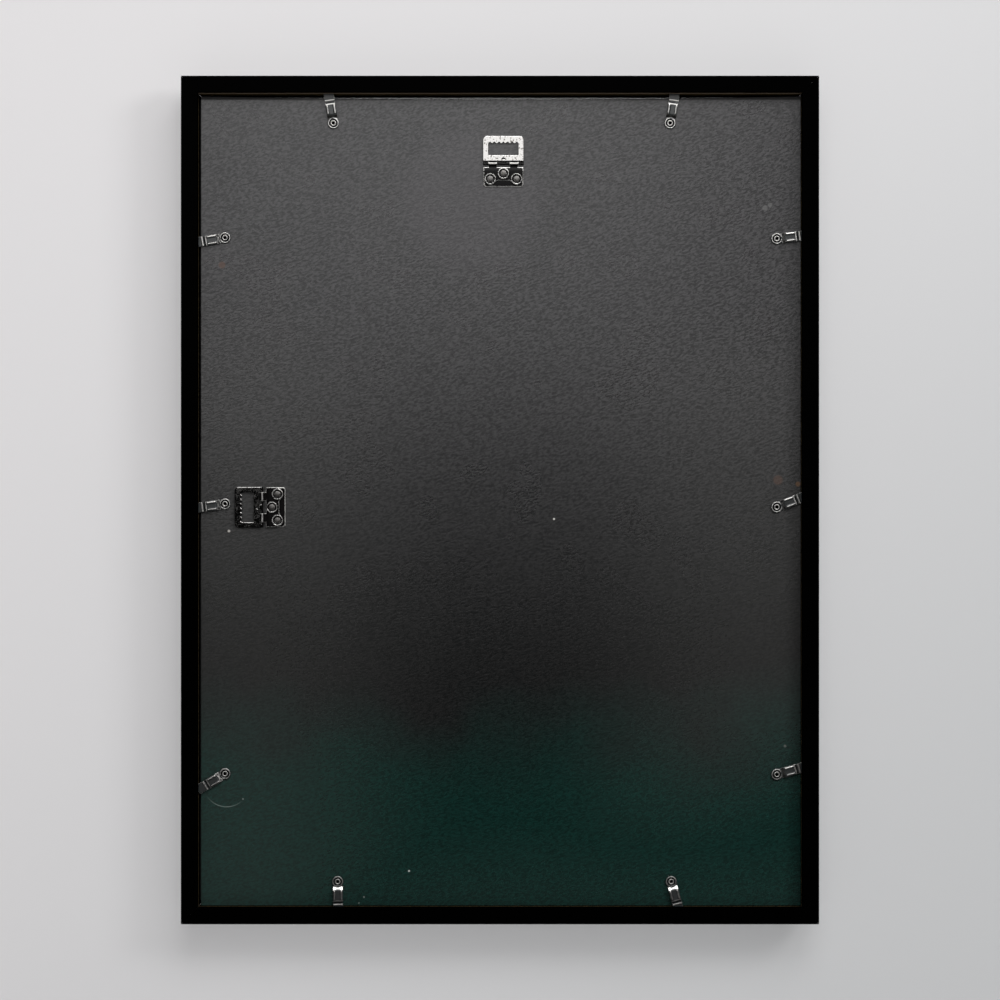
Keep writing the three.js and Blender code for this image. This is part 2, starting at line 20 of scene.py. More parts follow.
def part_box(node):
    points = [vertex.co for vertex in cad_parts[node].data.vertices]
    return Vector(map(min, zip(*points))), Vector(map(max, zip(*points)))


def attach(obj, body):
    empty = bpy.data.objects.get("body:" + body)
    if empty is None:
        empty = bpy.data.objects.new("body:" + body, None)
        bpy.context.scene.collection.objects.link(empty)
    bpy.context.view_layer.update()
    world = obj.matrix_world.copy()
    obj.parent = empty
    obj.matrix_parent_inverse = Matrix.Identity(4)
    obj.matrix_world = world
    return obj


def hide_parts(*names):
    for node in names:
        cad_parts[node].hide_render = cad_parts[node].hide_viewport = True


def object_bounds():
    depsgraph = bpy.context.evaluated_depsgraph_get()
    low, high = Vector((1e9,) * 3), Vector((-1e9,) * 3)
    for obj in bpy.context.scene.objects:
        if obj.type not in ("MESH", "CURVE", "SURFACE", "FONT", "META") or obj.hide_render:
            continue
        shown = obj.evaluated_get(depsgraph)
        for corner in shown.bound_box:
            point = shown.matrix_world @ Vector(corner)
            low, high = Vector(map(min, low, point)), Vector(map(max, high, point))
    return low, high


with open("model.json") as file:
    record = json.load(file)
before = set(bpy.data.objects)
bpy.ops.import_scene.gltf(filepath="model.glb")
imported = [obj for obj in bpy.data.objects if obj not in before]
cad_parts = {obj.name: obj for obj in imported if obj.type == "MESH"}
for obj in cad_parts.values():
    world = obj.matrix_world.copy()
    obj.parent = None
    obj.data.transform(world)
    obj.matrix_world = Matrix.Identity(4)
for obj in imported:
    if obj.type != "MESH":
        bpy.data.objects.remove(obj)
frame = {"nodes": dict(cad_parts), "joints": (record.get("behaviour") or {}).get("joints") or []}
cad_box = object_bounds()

nodes = frame["nodes"]
joints = {joint["name"]: joint for joint in frame["joints"]}
scene = bpy.context.scene
print("pieces in the frame:", len(nodes))

# %% [markdown]
# Sizes are easier to read in millimetres, but Blender works here in metres. So every size is written in
# millimetres and turned over at the last moment by one factor. The main places come from the frame itself.

# %% Units and the main places
MM = 0.001
low_corner, high_corner = cad_box
centre = (low_corner + high_corner) / 2
frame_front = low_corner.y
frame_back = high_corner.y
board_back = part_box("backing_board")[1].y
print("frame, mm:", [round(side / MM, 1) for side in high_corner - low_corner])

# %% [markdown]
# The photograph looks straight at the middle of the back, with no keystone, so the camera stands on the
# frame's own axis and has no shift. An 85 mm lens needs a distance at which one pixel is 0.757 mm wide at
# the rails. The frame's front faces -Y, so the camera is on the +Y side and turned half round.

# %% Camera
def new_object(name, data):
    """An object in the scene that shows the data."""
    made = bpy.data.objects.new(name, data)
    scene.collection.objects.link(made)
    return made


IMAGE_PIXELS = 1000
PIXEL_SIZE = 0.7574 * MM  # at the rails' back face
LENS = 85
SENSOR = 36

camera_distance = PIXEL_SIZE * IMAGE_PIXELS * LENS / SENSOR
camera_data = bpy.data.cameras.new("portrait_camera")
camera_data.lens = LENS
camera_data.sensor_width = SENSOR
camera = new_object("portrait_camera", camera_data)
camera.location = (centre.x, frame_back + camera_distance, centre.z)
camera.rotation_euler = (math.radians(90), 0, math.radians(180))
scene.camera = camera
print("camera distance, m:", round(camera_distance, 3))

# %% [markdown]
# Blender's newer view transforms bend colours to look like film. Here a colour has to come out about as it is
# written, so the plain one is set. Then three small tools serve every material. One turns a colour as a paint
# chart gives it, an sRGB hex value, into the linear numbers that a shader needs. One adds a node with its
# settings and its links, whatever kind it is. One makes a material from a function that builds its surface.

# %% Colour and node helpers
scene.view_settings.view_transform = "Standard"


def srgb(text):
    """A hex colour as linear red, green, blue and alpha."""
    shares = [int(text[start : start + 2], 16) / 255 for start in (0, 2, 4)]
    linear = [c / 12.92 if c <= 0.04045 else ((c + 0.055) / 1.055) ** 2.4 for c in shares]
    return (*linear, 1.0)


def add_node(tree, kind, inputs=None, output=0, **settings):
    """Adds a node with its settings, and answers with one of its outputs. Each input is a value, or the
    output that feeds it."""
    node = tree.nodes.new("ShaderNode" + kind)
    for name, value in settings.items():
        setattr(node, name, value)
    for name, value in (inputs or {}).items():
        if isinstance(value, bpy.types.NodeSocket):
            tree.links.new(value, node.inputs[name])
        else:
            node.inputs[name].default_value = value
    return node.outputs[output] if node.outputs else None


def new_material(name, surface, *settings):
    """A material whose surface a function builds with the adding tool and these settings."""
    material = bpy.data.materials.new(name)
    material.use_nodes = True
    material.node_tree.nodes.clear()
    add = partial(add_node, material.node_tree)
    add("OutputMaterial", {"Surface": surface(add, *settings)})
    return material


# What a Mix node is told so that it mixes colours, and a Map Range node so that it rounds its corners.
COLOURS = {"output": 2, "data_type": "RGBA"}
SMOOTH = {"interpolation_type": "SMOOTHSTEP"}
print("paint chart grey 808080 is", round(srgb("808080")[0], 3), "in linear light")

# %% [markdown]
# Most patterns need the same few sums. One gives the scale at which a texture's blotches are a given number
# of millimetres wide. Two list what a node is told: which range of values becomes which, for a Map Range
# node, and what lies at the two ends of a Mix node. The commonest pattern of all is a value that wanders in
# blotches, and the last tool is 1 where all its tests hold.

# %% Scales, ranges and shares
def per_mm(size):
    """The scale of a texture whose pattern repeats about every so many millimetres."""
    return 1 / (size * MM)


def span(low, high, to_low=0.0, to_high=1.0):
    """The inputs of a Map Range node, apart from its value."""
    return {"From Min": low, "From Max": high, "To Min": to_low, "To Max": to_high}


def blend(share, first, second):
    """The inputs of a Mix node for colours, whose sockets are 6 and 7. Each is a hex value or an output."""
    ends = [srgb(colour) if isinstance(colour, str) else colour for colour in (first, second)]
    return {0: share, 6: ends[0], 7: ends[1]}


def uneven(add, point, size, change, shape=SMOOTH, **noise):
    """A value that wanders over the surface, in blotches of about that many millimetres."""
    blotches = add("TexNoise", {"Vector": point, "Scale": per_mm(size), **noise}, "Fac")
    return add("MapRange", {0: blotches, **change}, **shape)


def where_all(add, *tests):
    """1 where every test holds and 0 elsewhere. A test is a value, a comparison and a limit."""
    share = 1.0
    for value, comparison, limit in tests:
        holds = add("Math", {0: value, 1: limit}, operation=comparison)
        share = add("Math", {0: share, 1: holds}, operation="MULTIPLY")
    return share


print("a 1 mm pattern has scale", round(per_mm(1)))

# %% [markdown]
# The board has a soft glow that fades downwards, and the upper hanger's leaning loop is bright all over: both
# mirror one large, dim softbox behind the camera. A stronger one nearly overhead gives the light its
# direction, and whitens each slope that faces up. One on the right pushes the frame's shadow to the left; it
# is feathered so far that no metal mirrors it. A last one, on the far side, is for the glazed face. The
# board's glow is also painted into its colour as a painted highlight, lighter towards the top.

# %% Softboxes
# Each has its place from the frame's middle and its size, in metres, and its power in watts.
SOFTBOXES = {
    "sky_softbox": ((0.16, 2.0, 0.84), (1.25, 1.25), 7.6),
    "key_softbox": ((-0.45, 1.7, 1.9), (1.8, 1.1), 40),
    "side_softbox": ((-1.7, 1.3, 1.0), (0.7, 0.8), 27),
    "face_softbox": ((0.7, -1.9, 1.3), (1.4, 1.4), 26),
}

for name, (place, size, watts) in SOFTBOXES.items():
    light = bpy.data.lights.new(name, "AREA")
    light.shape = "RECTANGLE"
    light.size, light.size_y = size
    light.energy = watts
    softbox = new_object(name, light)
    softbox.location = centre + Vector(place)
    softbox.rotation_euler = (-Vector(place)).to_track_quat("-Z", "Y").to_euler()
    softbox.visible_glossy = name != "side_softbox"
    print(name, "at", [round(part, 2) for part in softbox.location])

# %% [markdown]
# The air of the studio. What the camera, a mirror or glass sees of it is the pale background. What lights
# dull surfaces is a weaker, even grey, so that the softboxes stay in charge.

# %% World
PALE = "dcdbdc"
FILL_STRENGTH = 0.2


def seen_share(add):
    """1 for what the camera sees, also by way of a mirror or glass, and 0 for the light on dull surfaces."""
    seen = add("LightPath", output="Is Camera Ray")
    for way in ("Is Glossy Ray", "Is Transmission Ray"):
        seen = add("Math", {0: seen, 1: add("LightPath", output=way)}, operation="MAXIMUM")
    return seen


def glowing_paint(add, colour, glow, gloss):
    """Dull paint with a share of brightness that no shadow darkens."""
    dull = add("BsdfPrincipled", {"Base Color": colour, "Roughness": 0.95, "Specular IOR Level": gloss})
    lit = add("Emission", {"Color": colour, "Strength": 1.0})
    share = add("Math", {0: seen_share(add), 1: glow}, operation="MULTIPLY")
    return add("MixShader", {0: share, 1: dull, 2: lit})


world = bpy.data.worlds.new("studio_air")
world.use_nodes = True
scene.world = world
world.node_tree.nodes.clear()
add = partial(add_node, world.node_tree)
fill_light = add("Background", {"Color": srgb("ffffff"), "Strength": FILL_STRENGTH})
pale_view = add("Background", {"Color": srgb(PALE), "Strength": 1.0})
add("OutputWorld", {"Surface": add("MixShader", {0: seen_share(add), 1: fill_light, 2: pale_view})})
print("fill light strength:", FILL_STRENGTH)

# %% [markdown]
# Photographers hang black cloths round the camera when they shoot black, glossy things, so that only
# darkness is mirrored straight back and from the sides. Here nothing but reflections know them, and the
# space overhead stays open and pale.

# %% Black cloths round the camera
CLOTH_DISTANCE = 2.6
CLOTH_HALF_WIDTH = 2.6
CLOTH_LOW, CLOTH_HIGH = -0.95, 2.4  # from the frame's middle
CLOTH_START = 0.03  # how far from the frame the side cloths and the low one begin


def add_panel(name, corner, first, second, material, hidden_from=()):
    """A flat stage panel from one corner and the two sides that leave it, in metres, and the kinds of rays
    that it is hidden from."""
    corner, first, second = Vector(corner), Vector(first), Vector(second)
    mesh = bpy.data.meshes.new(name)
    corners = [corner, corner + first, corner + first + second, corner + second]
    mesh.from_pydata(corners, [], [(0, 1, 2, 3)])
    mesh.materials.append(material)
    panel = new_object(name, mesh)
    for rays in hidden_from:
        setattr(panel, "visible_" + rays, False)
    return panel


def cloth(add):
    return add("BsdfPrincipled", {"Base Color": srgb("040404"), "Roughness": 1.0, "Specular IOR Level": 0.0})


black_cloth = new_material("black_cloth", cloth)
low_z = centre.z + CLOTH_LOW
near_y = frame_back + CLOTH_START
left_x, right_x = centre.x + CLOTH_HALF_WIDTH, centre.x - CLOTH_HALF_WIDTH
width = (right_x - left_x, 0, 0)
depth = (0, CLOTH_DISTANCE - CLOTH_START, 0)
height = (0, 0, CLOTH_HIGH - CLOTH_LOW)
only_mirrored = ("camera", "diffuse", "transmission", "shadow")
for name, corner, first, second in (
    ("back", (left_x, frame_back + CLOTH_DISTANCE, low_z), width, height),
    ("low", (left_x, near_y, low_z), width, depth),
    ("left", (left_x, near_y, low_z), depth, height),
    ("right", (right_x, near_y, low_z), depth, height),
):
    add_panel("black_cloth_" + name, corner, first, second, black_cloth, only_mirrored)
behind_camera = frame_back + CLOTH_DISTANCE - camera.location.y
print("the back cloth hangs", round(behind_camera, 2), "m behind the camera")

# %% [markdown]
# The backdrop hangs close behind the frame's front, where it catches a soft shadow. Its colour is painted
# paler at the upper left than at the lower right, a painted falloff of light. It is a one-way screen: from
# its far side it is clear, so that the glazed face can be looked at as well. Only the camera sees it, so it
# takes no light from that face.

# %% Backdrop
BACKDROP_GAP = 14 * MM  # behind the frame's front face
BACKDROP_HALF = 1.6
BACKDROP_FADE = 0.5
BACKDROP_GLOW = 0.45  # the share of its brightness that no shadow darkens
GRADIENT_HALF = 0.4  # the gradient runs over this much on each side of the middle
LEFT_SHARE, UP_SHARE = 0.52, 0.36  # how much of it runs each way


def one_way_paper(add):
    point = add("TexCoord", output="Object")
    shares = []
    for axis, middle, share in (("X", centre.x, LEFT_SHARE), ("Z", centre.z, UP_SHARE)):
        along = add("SeparateXYZ", {0: point}, axis)
        reach = span(middle - GRADIENT_HALF, middle + GRADIENT_HALF, 0.0, share)
        shares.append(add("MapRange", {0: along, **reach}))
    both = add("Math", {0: shares[0], 1: shares[1]}, operation="ADD")
    # A painted falloff of light: the colour is paler towards the upper left.
    painted_light_falloff = add("MapRange", {0: both, **span(-0.1, 0.95)}, **SMOOTH)
    colour = add("Mix", blend(painted_light_falloff, "bcbdbe", "dfddde"), **COLOURS)
    away = add("VectorMath", {0: point, 1: centre}, "Value", operation="DISTANCE")
    fade = add("MapRange", {0: away, **span(BACKDROP_HALF - BACKDROP_FADE, BACKDROP_HALF)}, **SMOOTH)
    see_through = add("Math", {0: fade, 1: add("NewGeometry", output="Backfacing")}, operation="MAXIMUM")
    lit_paper = glowing_paint(add, colour, BACKDROP_GLOW, 0.0)
    return add("MixShader", {0: see_through, 1: lit_paper, 2: add("BsdfTransparent")})


backdrop_paper = new_material("backdrop_paper", one_way_paper)
backdrop_y = frame_front - BACKDROP_GAP
backdrop_corner = (centre.x + BACKDROP_HALF, backdrop_y, centre.z - BACKDROP_HALF)
only_seen = ("diffuse", "glossy", "transmission", "shadow")
sides = (-2 * BACKDROP_HALF, 0, 0), (0, 0, 2 * BACKDROP_HALF)
backdrop = add_panel("backdrop", backdrop_corner, *sides, backdrop_paper, only_seen)
print("backdrop at y", round(backdrop_y, 4), "facing", backdrop.data.polygons[0].normal[:])

# %% [markdown]
# A plain pale floor lies well below, out of the portrait's view. Like the backdrop it has a share of
# brightness that no shadow darkens, so that it stays pale far from the lamps.

# %% Floor
FLOOR_DROP = 1.1  # below the frame's middle
FLOOR_HALF = 4.0
FLOOR_GLOW = 0.6

pale_floor = new_material("pale_floor", glowing_paint, srgb(PALE), FLOOR_GLOW, 0.1)
floor_z = centre.z - FLOOR_DROP
floor_corner = (centre.x - FLOOR_HALF, -FLOOR_HALF, floor_z)
add_panel("floor", floor_corner, (2 * FLOOR_HALF, 0, 0), (0, 2 * FLOOR_HALF, 0), pale_floor)
print("floor at z", round(floor_z, 3))

# %% [markdown]
# The rails are MDF moulding, which is wood fibre pressed with glue, wrapped in black foil. The foil goes
# round the inner edge of the back, but on the upper rail it stops part of the way down the wall: below it
# the brown fibre is bare, first as a thin pale line and then in the groove that the clips reach into. One
# material holds both. It tells them apart by how far a point is from the outer edges and the back face.

# %% Rails: where the foil ends
RAIL_WIDTH = 12.7
RAIL_DEPTH = 19.0
LIP_THICKNESS = 4.5
FOIL_TURN = 3.2  # how far down the wall the foil reaches
PALE_LINE = 3.6  # the width of the paler fibre below it
SKIN = 1.0  # anything deeper inside the rail than this is in the groove


def bare_fibre(add, point):
    """Shares from 0 to 1: where the fibre is bare, where it is paler, and all of the inner wall."""
    offsets = []
    left_over = []
    for axis, middle, half in (
        ("X", centre.x, (high_corner.x - low_corner.x) / 2),
        ("Z", centre.z, (high_corner.z - low_corner.z) / 2),
    ):
        along = add("SeparateXYZ", {0: point}, axis)
        offsets.append(add("Math", {0: along, 1: middle}, operation="SUBTRACT"))
        away = add("Math", {0: offsets[-1]}, operation="ABSOLUTE")
        left_over.append(add("Math", {0: half, 1: away}, operation="SUBTRACT"))
    inward = add("Math", {0: left_over[0], 1: left_over[1]}, operation="MINIMUM")
    deep = add("Math", {0: frame_back, 1: add("SeparateXYZ", {0: point}, "Y")}, operation="SUBTRACT")
    on_wall = (inward, "GREATER_THAN", (RAIL_WIDTH - 0.1) * MM)
    behind_lip = (deep, "LESS_THAN", (RAIL_DEPTH - LIP_THICKNESS - 0.1) * MM)
    below_foil = where_all(
        add,
        (left_over[1], "LESS_THAN", left_over[0]),
        (offsets[1], "GREATER_THAN", 0.0),
        (deep, "GREATER_THAN", FOIL_TURN * MM),
        on_wall,
        behind_lip,
    )
    in_groove = where_all(
        add,
        (inward, "GREATER_THAN", SKIN * MM),
        (inward, "LESS_THAN", (RAIL_WIDTH - 0.1) * MM),
        (deep, "GREATER_THAN", SKIN * MM),
        behind_lip,
    )
    near_foil = add("Math", {0: deep, 1: (FOIL_TURN + PALE_LINE) * MM}, operation="LESS_THAN")
    return (
        add("Math", {0: below_foil, 1: in_groove}, operation="MAXIMUM"),
        add("Math", {0: below_foil, 1: near_foil}, operation="MULTIPLY"),
        where_all(add, on_wall, (deep, "GREATER_THAN", 0.3 * MM)),
    )


print("the foil ends", FOIL_TURN, "mm down the upper rail's wall")

# %% [markdown]
# The foil is a printed film, nearly dead black, so it takes its life from its satin skin. Dust has dulled it
# on the inner walls, where no hand polishes it. The bare fibre is brown, fully dull and flecked.

# %% Rails: black foil over MDF
FIBRE_LENGTH = 1.6
FOIL_GRAIN = 0.9
FOIL_CLOUD = 14


def foil_on_fibre(add):
    point = add("TexCoord", output="Object")
    bare, paler, on_wall = bare_fibre(add, point)
    fleck = uneven(add, point, FIBRE_LENGTH, span(0.35, 0.65), Detail=6.0, Roughness=0.7)
    wall = add("Mix", blend(fleck, "2e281c", "483c28"), **COLOURS)
    inner = add("Mix", blend(paler, wall, "74675a"), **COLOURS)
    colour = add("Mix", blend(bare, "010101", inner), **COLOURS)
    satin = uneven(add, point, FOIL_CLOUD, span(0.3, 0.7, 0.2, 0.28))
    grain = add("TexNoise", {"Vector": point, "Scale": per_mm(FOIL_GRAIN)}, "Fac")
    bump = add("Bump", {"Height": grain, "Strength": 0.5, "Distance": 0.02 * MM})
    foil = {"Base Color": srgb("010101"), "Roughness": satin, "Normal": bump, "Specular IOR Level": 0.005}
    fibre = {"Base Color": colour, "Roughness": 0.95, "Specular IOR Level": 0.0}
    dull = add("Math", {0: bare, 1: on_wall}, operation="MAXIMUM")
    return add("MixShader", {0: dull, 1: add("BsdfPrincipled", foil), 2: add("BsdfPrincipled", fibre)})


def dress(names, material):
    """Gives the frame's own pieces a finish."""
    for name in names:
        nodes[name].data.materials.clear()
        nodes[name].data.materials.append(material)


rails = [name for name in nodes if name.startswith("rail_")]
dress(rails, new_material("black_foil_on_mdf", foil_on_fibre))
print("rails dressed:", len(rails))

# %% [markdown]
# A board that has been handled has a few stains and specks, and each is a soft round patch at its own place.
# One more such patch is a painted glow. Their places were read off the photograph in pixels, and a sum puts a
# pixel on the board's back.

# %% Back board: the marks
board_pixel = PIXEL_SIZE * (camera_distance + frame_back - board_back) / camera_distance


def row_height(row):
    """How high a row of the photograph's pixels lies on the board, in metres."""
    return centre.z - (row - IMAGE_PIXELS / 2) * board_pixel


def on_board(column, row):
    """Where a pixel of the photograph lies on the board's back face, in metres."""
    across = (column - IMAGE_PIXELS / 2) * board_pixel
    return Vector((centre.x - across, board_back, row_height(row)))


def round_row(row, half):
    """The inputs of a Map Range node that climbs from 0 to 1 round a row, so many millimetres each way."""
    return span(row_height(row) - half * MM, row_height(row) + half * MM)


# Each mark has the pixel of its middle, its radius in millimetres, a colour and how strong it is. The last
# and largest is not a stain but a painted glow: a paler patch that stands for a warm reflection on the coat.
board_marks_and_glow = (
    ((222, 265), 3.0, "4a3328", 0.7),
    ((229, 531), 1.2, "b8b4ae", 0.7),
    ((778, 480), 4.2, "4a3a32", 0.6),
    ((798, 484), 2.2, "6a4f38", 0.7),
    ((554, 519), 0.9, "c8c6c0", 0.9),
    ((409, 871), 0.9, "b0b4b0", 0.8),
    ((364, 897), 0.9, "8a928e", 0.35),
    ((359, 903), 0.7, "8a928e", 0.35),
    ((785, 746), 1.2, "7a7c78", 0.35),
    ((243, 799), 0.8, "7a8682", 0.5),
    ((765, 208), 2.4, "7a7a78", 0.25),
    ((770, 205), 2.0, "7a7a78", 0.25),
    # A painted glow, not a stain: a paler patch for a warm reflection.
    ((472, 200), 60, "434043", 0.3),
)
print("board marks:", len(board_marks_and_glow), "and a pixel on the board is", round(board_pixel / MM, 3), "mm")

# %% [markdown]
# The back board is hardboard with a black coat rolled on. The roller leaves a fine leathery skin of short
# strokes, little more than a millimetre apart. Their crests are painted lighter than the creases, a painted
# highlight on the skin, strongest in the upper part. Along both sides and at the bottom, where hands hold the
# board, it has taken on some grey dust.

# %% Back board: strokes and dust
STROKE_GAP = 1.35
STROKE_STRETCH = 2.2  # how many times longer than wide a stroke is
STROKE_TILT = 20
DUST_REACH = (0.02, 0.2)  # metres from the middle where it begins and where it is full
DUST_TOP = (340, 0.0)  # the pixel row where it starts, and its tilt
DUST_END = (880, 0.4)
DUST_LOWEST = (820, 910)  # the rows between which the dust at the bottom sets in


def board_skin(add, point):
    """The roller's strokes, from 0 in a crease to 1 on a crest."""
    turn = (0, math.radians(STROKE_TILT), 0)
    drawn = {"Vector": point, "Rotation": turn, "Scale": (STROKE_STRETCH, 1, 1)}
    laid = add("Mapping", drawn, vector_type="TEXTURE")
    return uneven(add, laid, STROKE_GAP, span(0.38, 0.62), {}, Detail=2.0, Distortion=0.5)


def dust_share(add, across, upright):
    """How much dust there is, from 0 to 1."""
    to_side = add("Math", {0: across}, operation="ABSOLUTE")
    dust = add("MapRange", {0: to_side, **span(*DUST_REACH)}, **SMOOTH)
    for (row, tilt), half, upper in ((DUST_TOP, 60, True), (DUST_END, 75, False)):
        tilted = add("Math", {0: across, 1: tilt, 2: upright}, operation="MULTIPLY_ADD")
        above = add("MapRange", {0: tilted, **round_row(row, half)}, **SMOOTH)
        kept = add("Math", {0: 1.0, 1: above}, operation="SUBTRACT") if upper else above
        dust = add("Math", {0: dust, 1: kept}, operation="MULTIPLY")
    lowest = add("MapRange", {0: upright, **span(*map(row_height, DUST_LOWEST), 0.0, 0.4)})
    return add("Math", {0: dust, 1: lowest}, operation="MAXIMUM")


print("the strokes are", STROKE_GAP, "mm apart")

# %% [markdown]
# The board's colour is charcoal in the upper part and turns to a dark green-black in the lower third, with a
# cloudy border. The charcoal is painted lighter towards the top, a painted glow. A narrow strip under the
# upper rail is painted darker, a painted shade from the rail.

# %% Back board: colours
CLOUD = 90
CLOUD_DRIFT = 110
BORDER_ROW, BORDER_HALF = 735, 45
PAINTED_GLOW_ROW, PAINTED_GLOW_HALF = 470, 165


def board_colour(add, point):
    """Charcoal above, painted lighter towards the top as a painted glow, green-black below, dust along the
    sides, and the marks on top, the largest of them a painted glow as well.
    """
    upright = add("SeparateXYZ", {0: point}, "Z")
    half_drift = CLOUD_DRIFT / 2 * MM
    drift = uneven(add, point, CLOUD, span(0, 1, -half_drift, half_drift), {}, Detail=2.0)
    height = add("Math", {0: upright, 1: drift}, operation="ADD")
    skin = board_skin(add, point)
    # The crests are painted lighter than the creases, a painted highlight, most of all in the upper tone.
    tones = [
        add("Mix", blend(skin, crease, crest), **COLOURS)
        for crease, crest in (("091f1b", "0d2b26"), ("111212", "1b1b1b"), ("1b1a1b", "3b3a3b"))
    ]
    above = add("MapRange", {0: height, **round_row(BORDER_ROW, BORDER_HALF)}, **SMOOTH)
    # Painted glow: the upper tone is lighter, standing in for the softbox's sheen on the coat.
    upper = add("MapRange", {0: upright, **round_row(PAINTED_GLOW_ROW, PAINTED_GLOW_HALF)}, **SMOOTH)
    grey = add("Mix", blend(upper, tones[1], tones[2]), **COLOURS)
    colour = add("Mix", blend(above, tones[0], grey), **COLOURS)
    across = add("Math", {0: add("SeparateXYZ", {0: point}, "X"), 1: centre.x}, operation="SUBTRACT")
    dust = dust_share(add, across, upright)
    colour = add("Mix", blend(dust, colour, "1e1e1d"), **COLOURS, blend_type="ADD")
    for pixel, radius, mark_colour, strength in board_marks_and_glow:
        edge = span(0.6 * radius * MM, 1.1 * radius * MM, strength, 0.0)
        away = add("VectorMath", {0: point, 1: on_board(*pixel)}, "Value", operation="DISTANCE")
        patch = add("MapRange", {0: away, **edge}, **SMOOTH)
        colour = add("Mix", blend(patch, colour, mark_colour), **COLOURS)
    return colour


print("the board's border is near z", round(row_height(BORDER_ROW), 3))

# %% [markdown]
# The coat is satin: the softbox shows in it as a glow without an edge. Its skin is bumped as well, and where
# the clip at the lower left has been swung round, its tip has scratched a thin arc.

# %% Back board: skin and gloss
SKIN_HEIGHT = 0.03
SMEAR = 40
GLOSS_CHANGE = (685, 120)  # the row round which the gloss changes, and how far each way
SHADE_DEPTH = (3.0, 1.8)  # from the board's upper edge, where the shade begins and where it is full
SCRATCH_MIDDLE = (226.6, 783.4)
SCRATCH_LOWEST = (224, 806)
SCRATCH_RADIUS = 17.8
SCRATCH_HALF_LENGTH = 15
board_top = max(corner.co.z for corner in nodes["backing_board"].data.vertices)


def scratch(add, point):
    """A share that is 1 on the thin arc, near its lowest point."""
    shares = []
    for pixel, radius, width in (
        (SCRATCH_MIDDLE, SCRATCH_RADIUS, 0.5),
        (SCRATCH_LOWEST, 0, SCRATCH_HALF_LENGTH),
    ):
        away = add("VectorMath", {0: point, 1: on_board(*pixel)}, "Value", operation="DISTANCE")
        miss = add("Math", {0: away, 1: radius * MM}, operation="SUBTRACT")
        off = add("Math", {0: miss}, operation="ABSOLUTE")
        shares.append(add("MapRange", {0: off, **span(0.3 * width * MM, width * MM, 1.0, 0.0)}))
    return add("Math", {0: shares[0], 1: shares[1]}, operation="MULTIPLY")


def rolled_coat(add):
    point = add("TexCoord", output="Object")
    upright = add("SeparateXYZ", {0: point}, "Z")
    bump = add("Bump", {"Height": board_skin(add, point), "Distance": SKIN_HEIGHT * MM})
    upper_gloss = uneven(add, point, SMEAR, span(0.2, 0.8, 0.265, 0.295), {}, Detail=1.0)
    above = add("MapRange", {0: upright, **round_row(*GLOSS_CHANGE)}, **SMOOTH)
    gloss = add("Mix", {0: above, 2: 0.2, 3: upper_gloss}, data_type="FLOAT")
    shade_edge = [board_top - depth * MM for depth in SHADE_DEPTH]
    # Painted shade: the strip under the upper rail is painted darker and duller.
    in_shade = add("MapRange", {0: upright, **span(*shade_edge)})
    marked = add("Mix", blend(scratch(add, point), board_colour(add, point), "5c6864"), **COLOURS)
    coat = {
        "Base Color": add("Mix", blend(in_shade, marked, "252424"), **COLOURS),
        "Roughness": add("Mix", {0: in_shade, 2: gloss, 3: 0.7}, data_type="FLOAT"),
        "Normal": bump,
        "Specular IOR Level": 0.65,
    }
    return add("BsdfPrincipled", coat)


dress(["backing_board"], new_material("black_coated_hardboard", rolled_coat))
print("board dressed")

# %% [markdown]
# The display side. Acrylic sheet is cast between polished plates: perfectly smooth, index 1.49, with only a
# breath of haze where hands have been. Cycles blocks lamps behind a solid glass shader, so a transparent
# one takes over for shadow rays. The paper is a plain uncoated sheet, off-white and dull, with faint flecks
# of fibre. Its back is painted black, a painted shade that keeps it dark in the gap beside the board. The
# nails in the mitres are bare strip steel.

# %% Glazing, paper and nails
def acrylic(add):
    point = add("TexCoord", output="Object")
    breath = uneven(add, point, 60, span(0.5, 0.8, 0.01, 0.06))
    sheet = {"Base Color": srgb("f6fafa"), "Roughness": breath, "IOR": 1.49, "Transmission Weight": 1.0}
    glass = add("BsdfPrincipled", sheet)
    shadow_ray = add("LightPath", output="Is Shadow Ray")
    return add("MixShader", {0: shadow_ray, 1: glass, 2: add("BsdfTransparent")})


def paper(add):
    point = add("TexCoord", output="Object")
    flecks = uneven(add, point, 0.8, span(0.45, 0.75), Detail=6.0, Roughness=0.7)
    face = add("Mix", blend(flecks, "f1eee7", "e6e1d7"), **COLOURS)
    depths = [corner.co.y for corner in nodes["insert_sheet"].data.vertices]
    halfway = (min(depths) + max(depths)) / 2
    # Painted shade: the sheet's back is black so that it stays dark in the gap beside the board.
    painted_shade_on_back = add("Math", {0: add("SeparateXYZ", {0: point}, "Y"), 1: halfway}, operation="GREATER_THAN")
    colour = add("Mix", blend(painted_shade_on_back, face, "0a0a0a"), **COLOURS)
    felt = add("TexNoise", {"Vector": point, "Scale": per_mm(0.5), "Detail": 4.0}, "Fac")
    bump = add("Bump", {"Height": felt, "Strength": 0.4, "Distance": 0.03 * MM})
    return add("BsdfPrincipled", {"Base Color": colour, "Roughness": 0.9, "Normal": bump})


def strip_steel(add):
    point = add("TexCoord", output="Object")
    roughness = uneven(add, point, 2, span(0.3, 0.7, 0.3, 0.5))
    return add("BsdfPrincipled", {"Base Color": srgb("b9b8b6"), "Metallic": 1.0, "Roughness": roughness})


dress(["glazing"], new_material("clear_cast_acrylic", acrylic))
dress(["insert_sheet"], new_material("uncoated_off_white_paper", paper))
v_nails = [name for name in nodes if name.startswith("v_nail_")]
dress(v_nails, new_material("bare_strip_steel", strip_steel))
print("display side dressed")

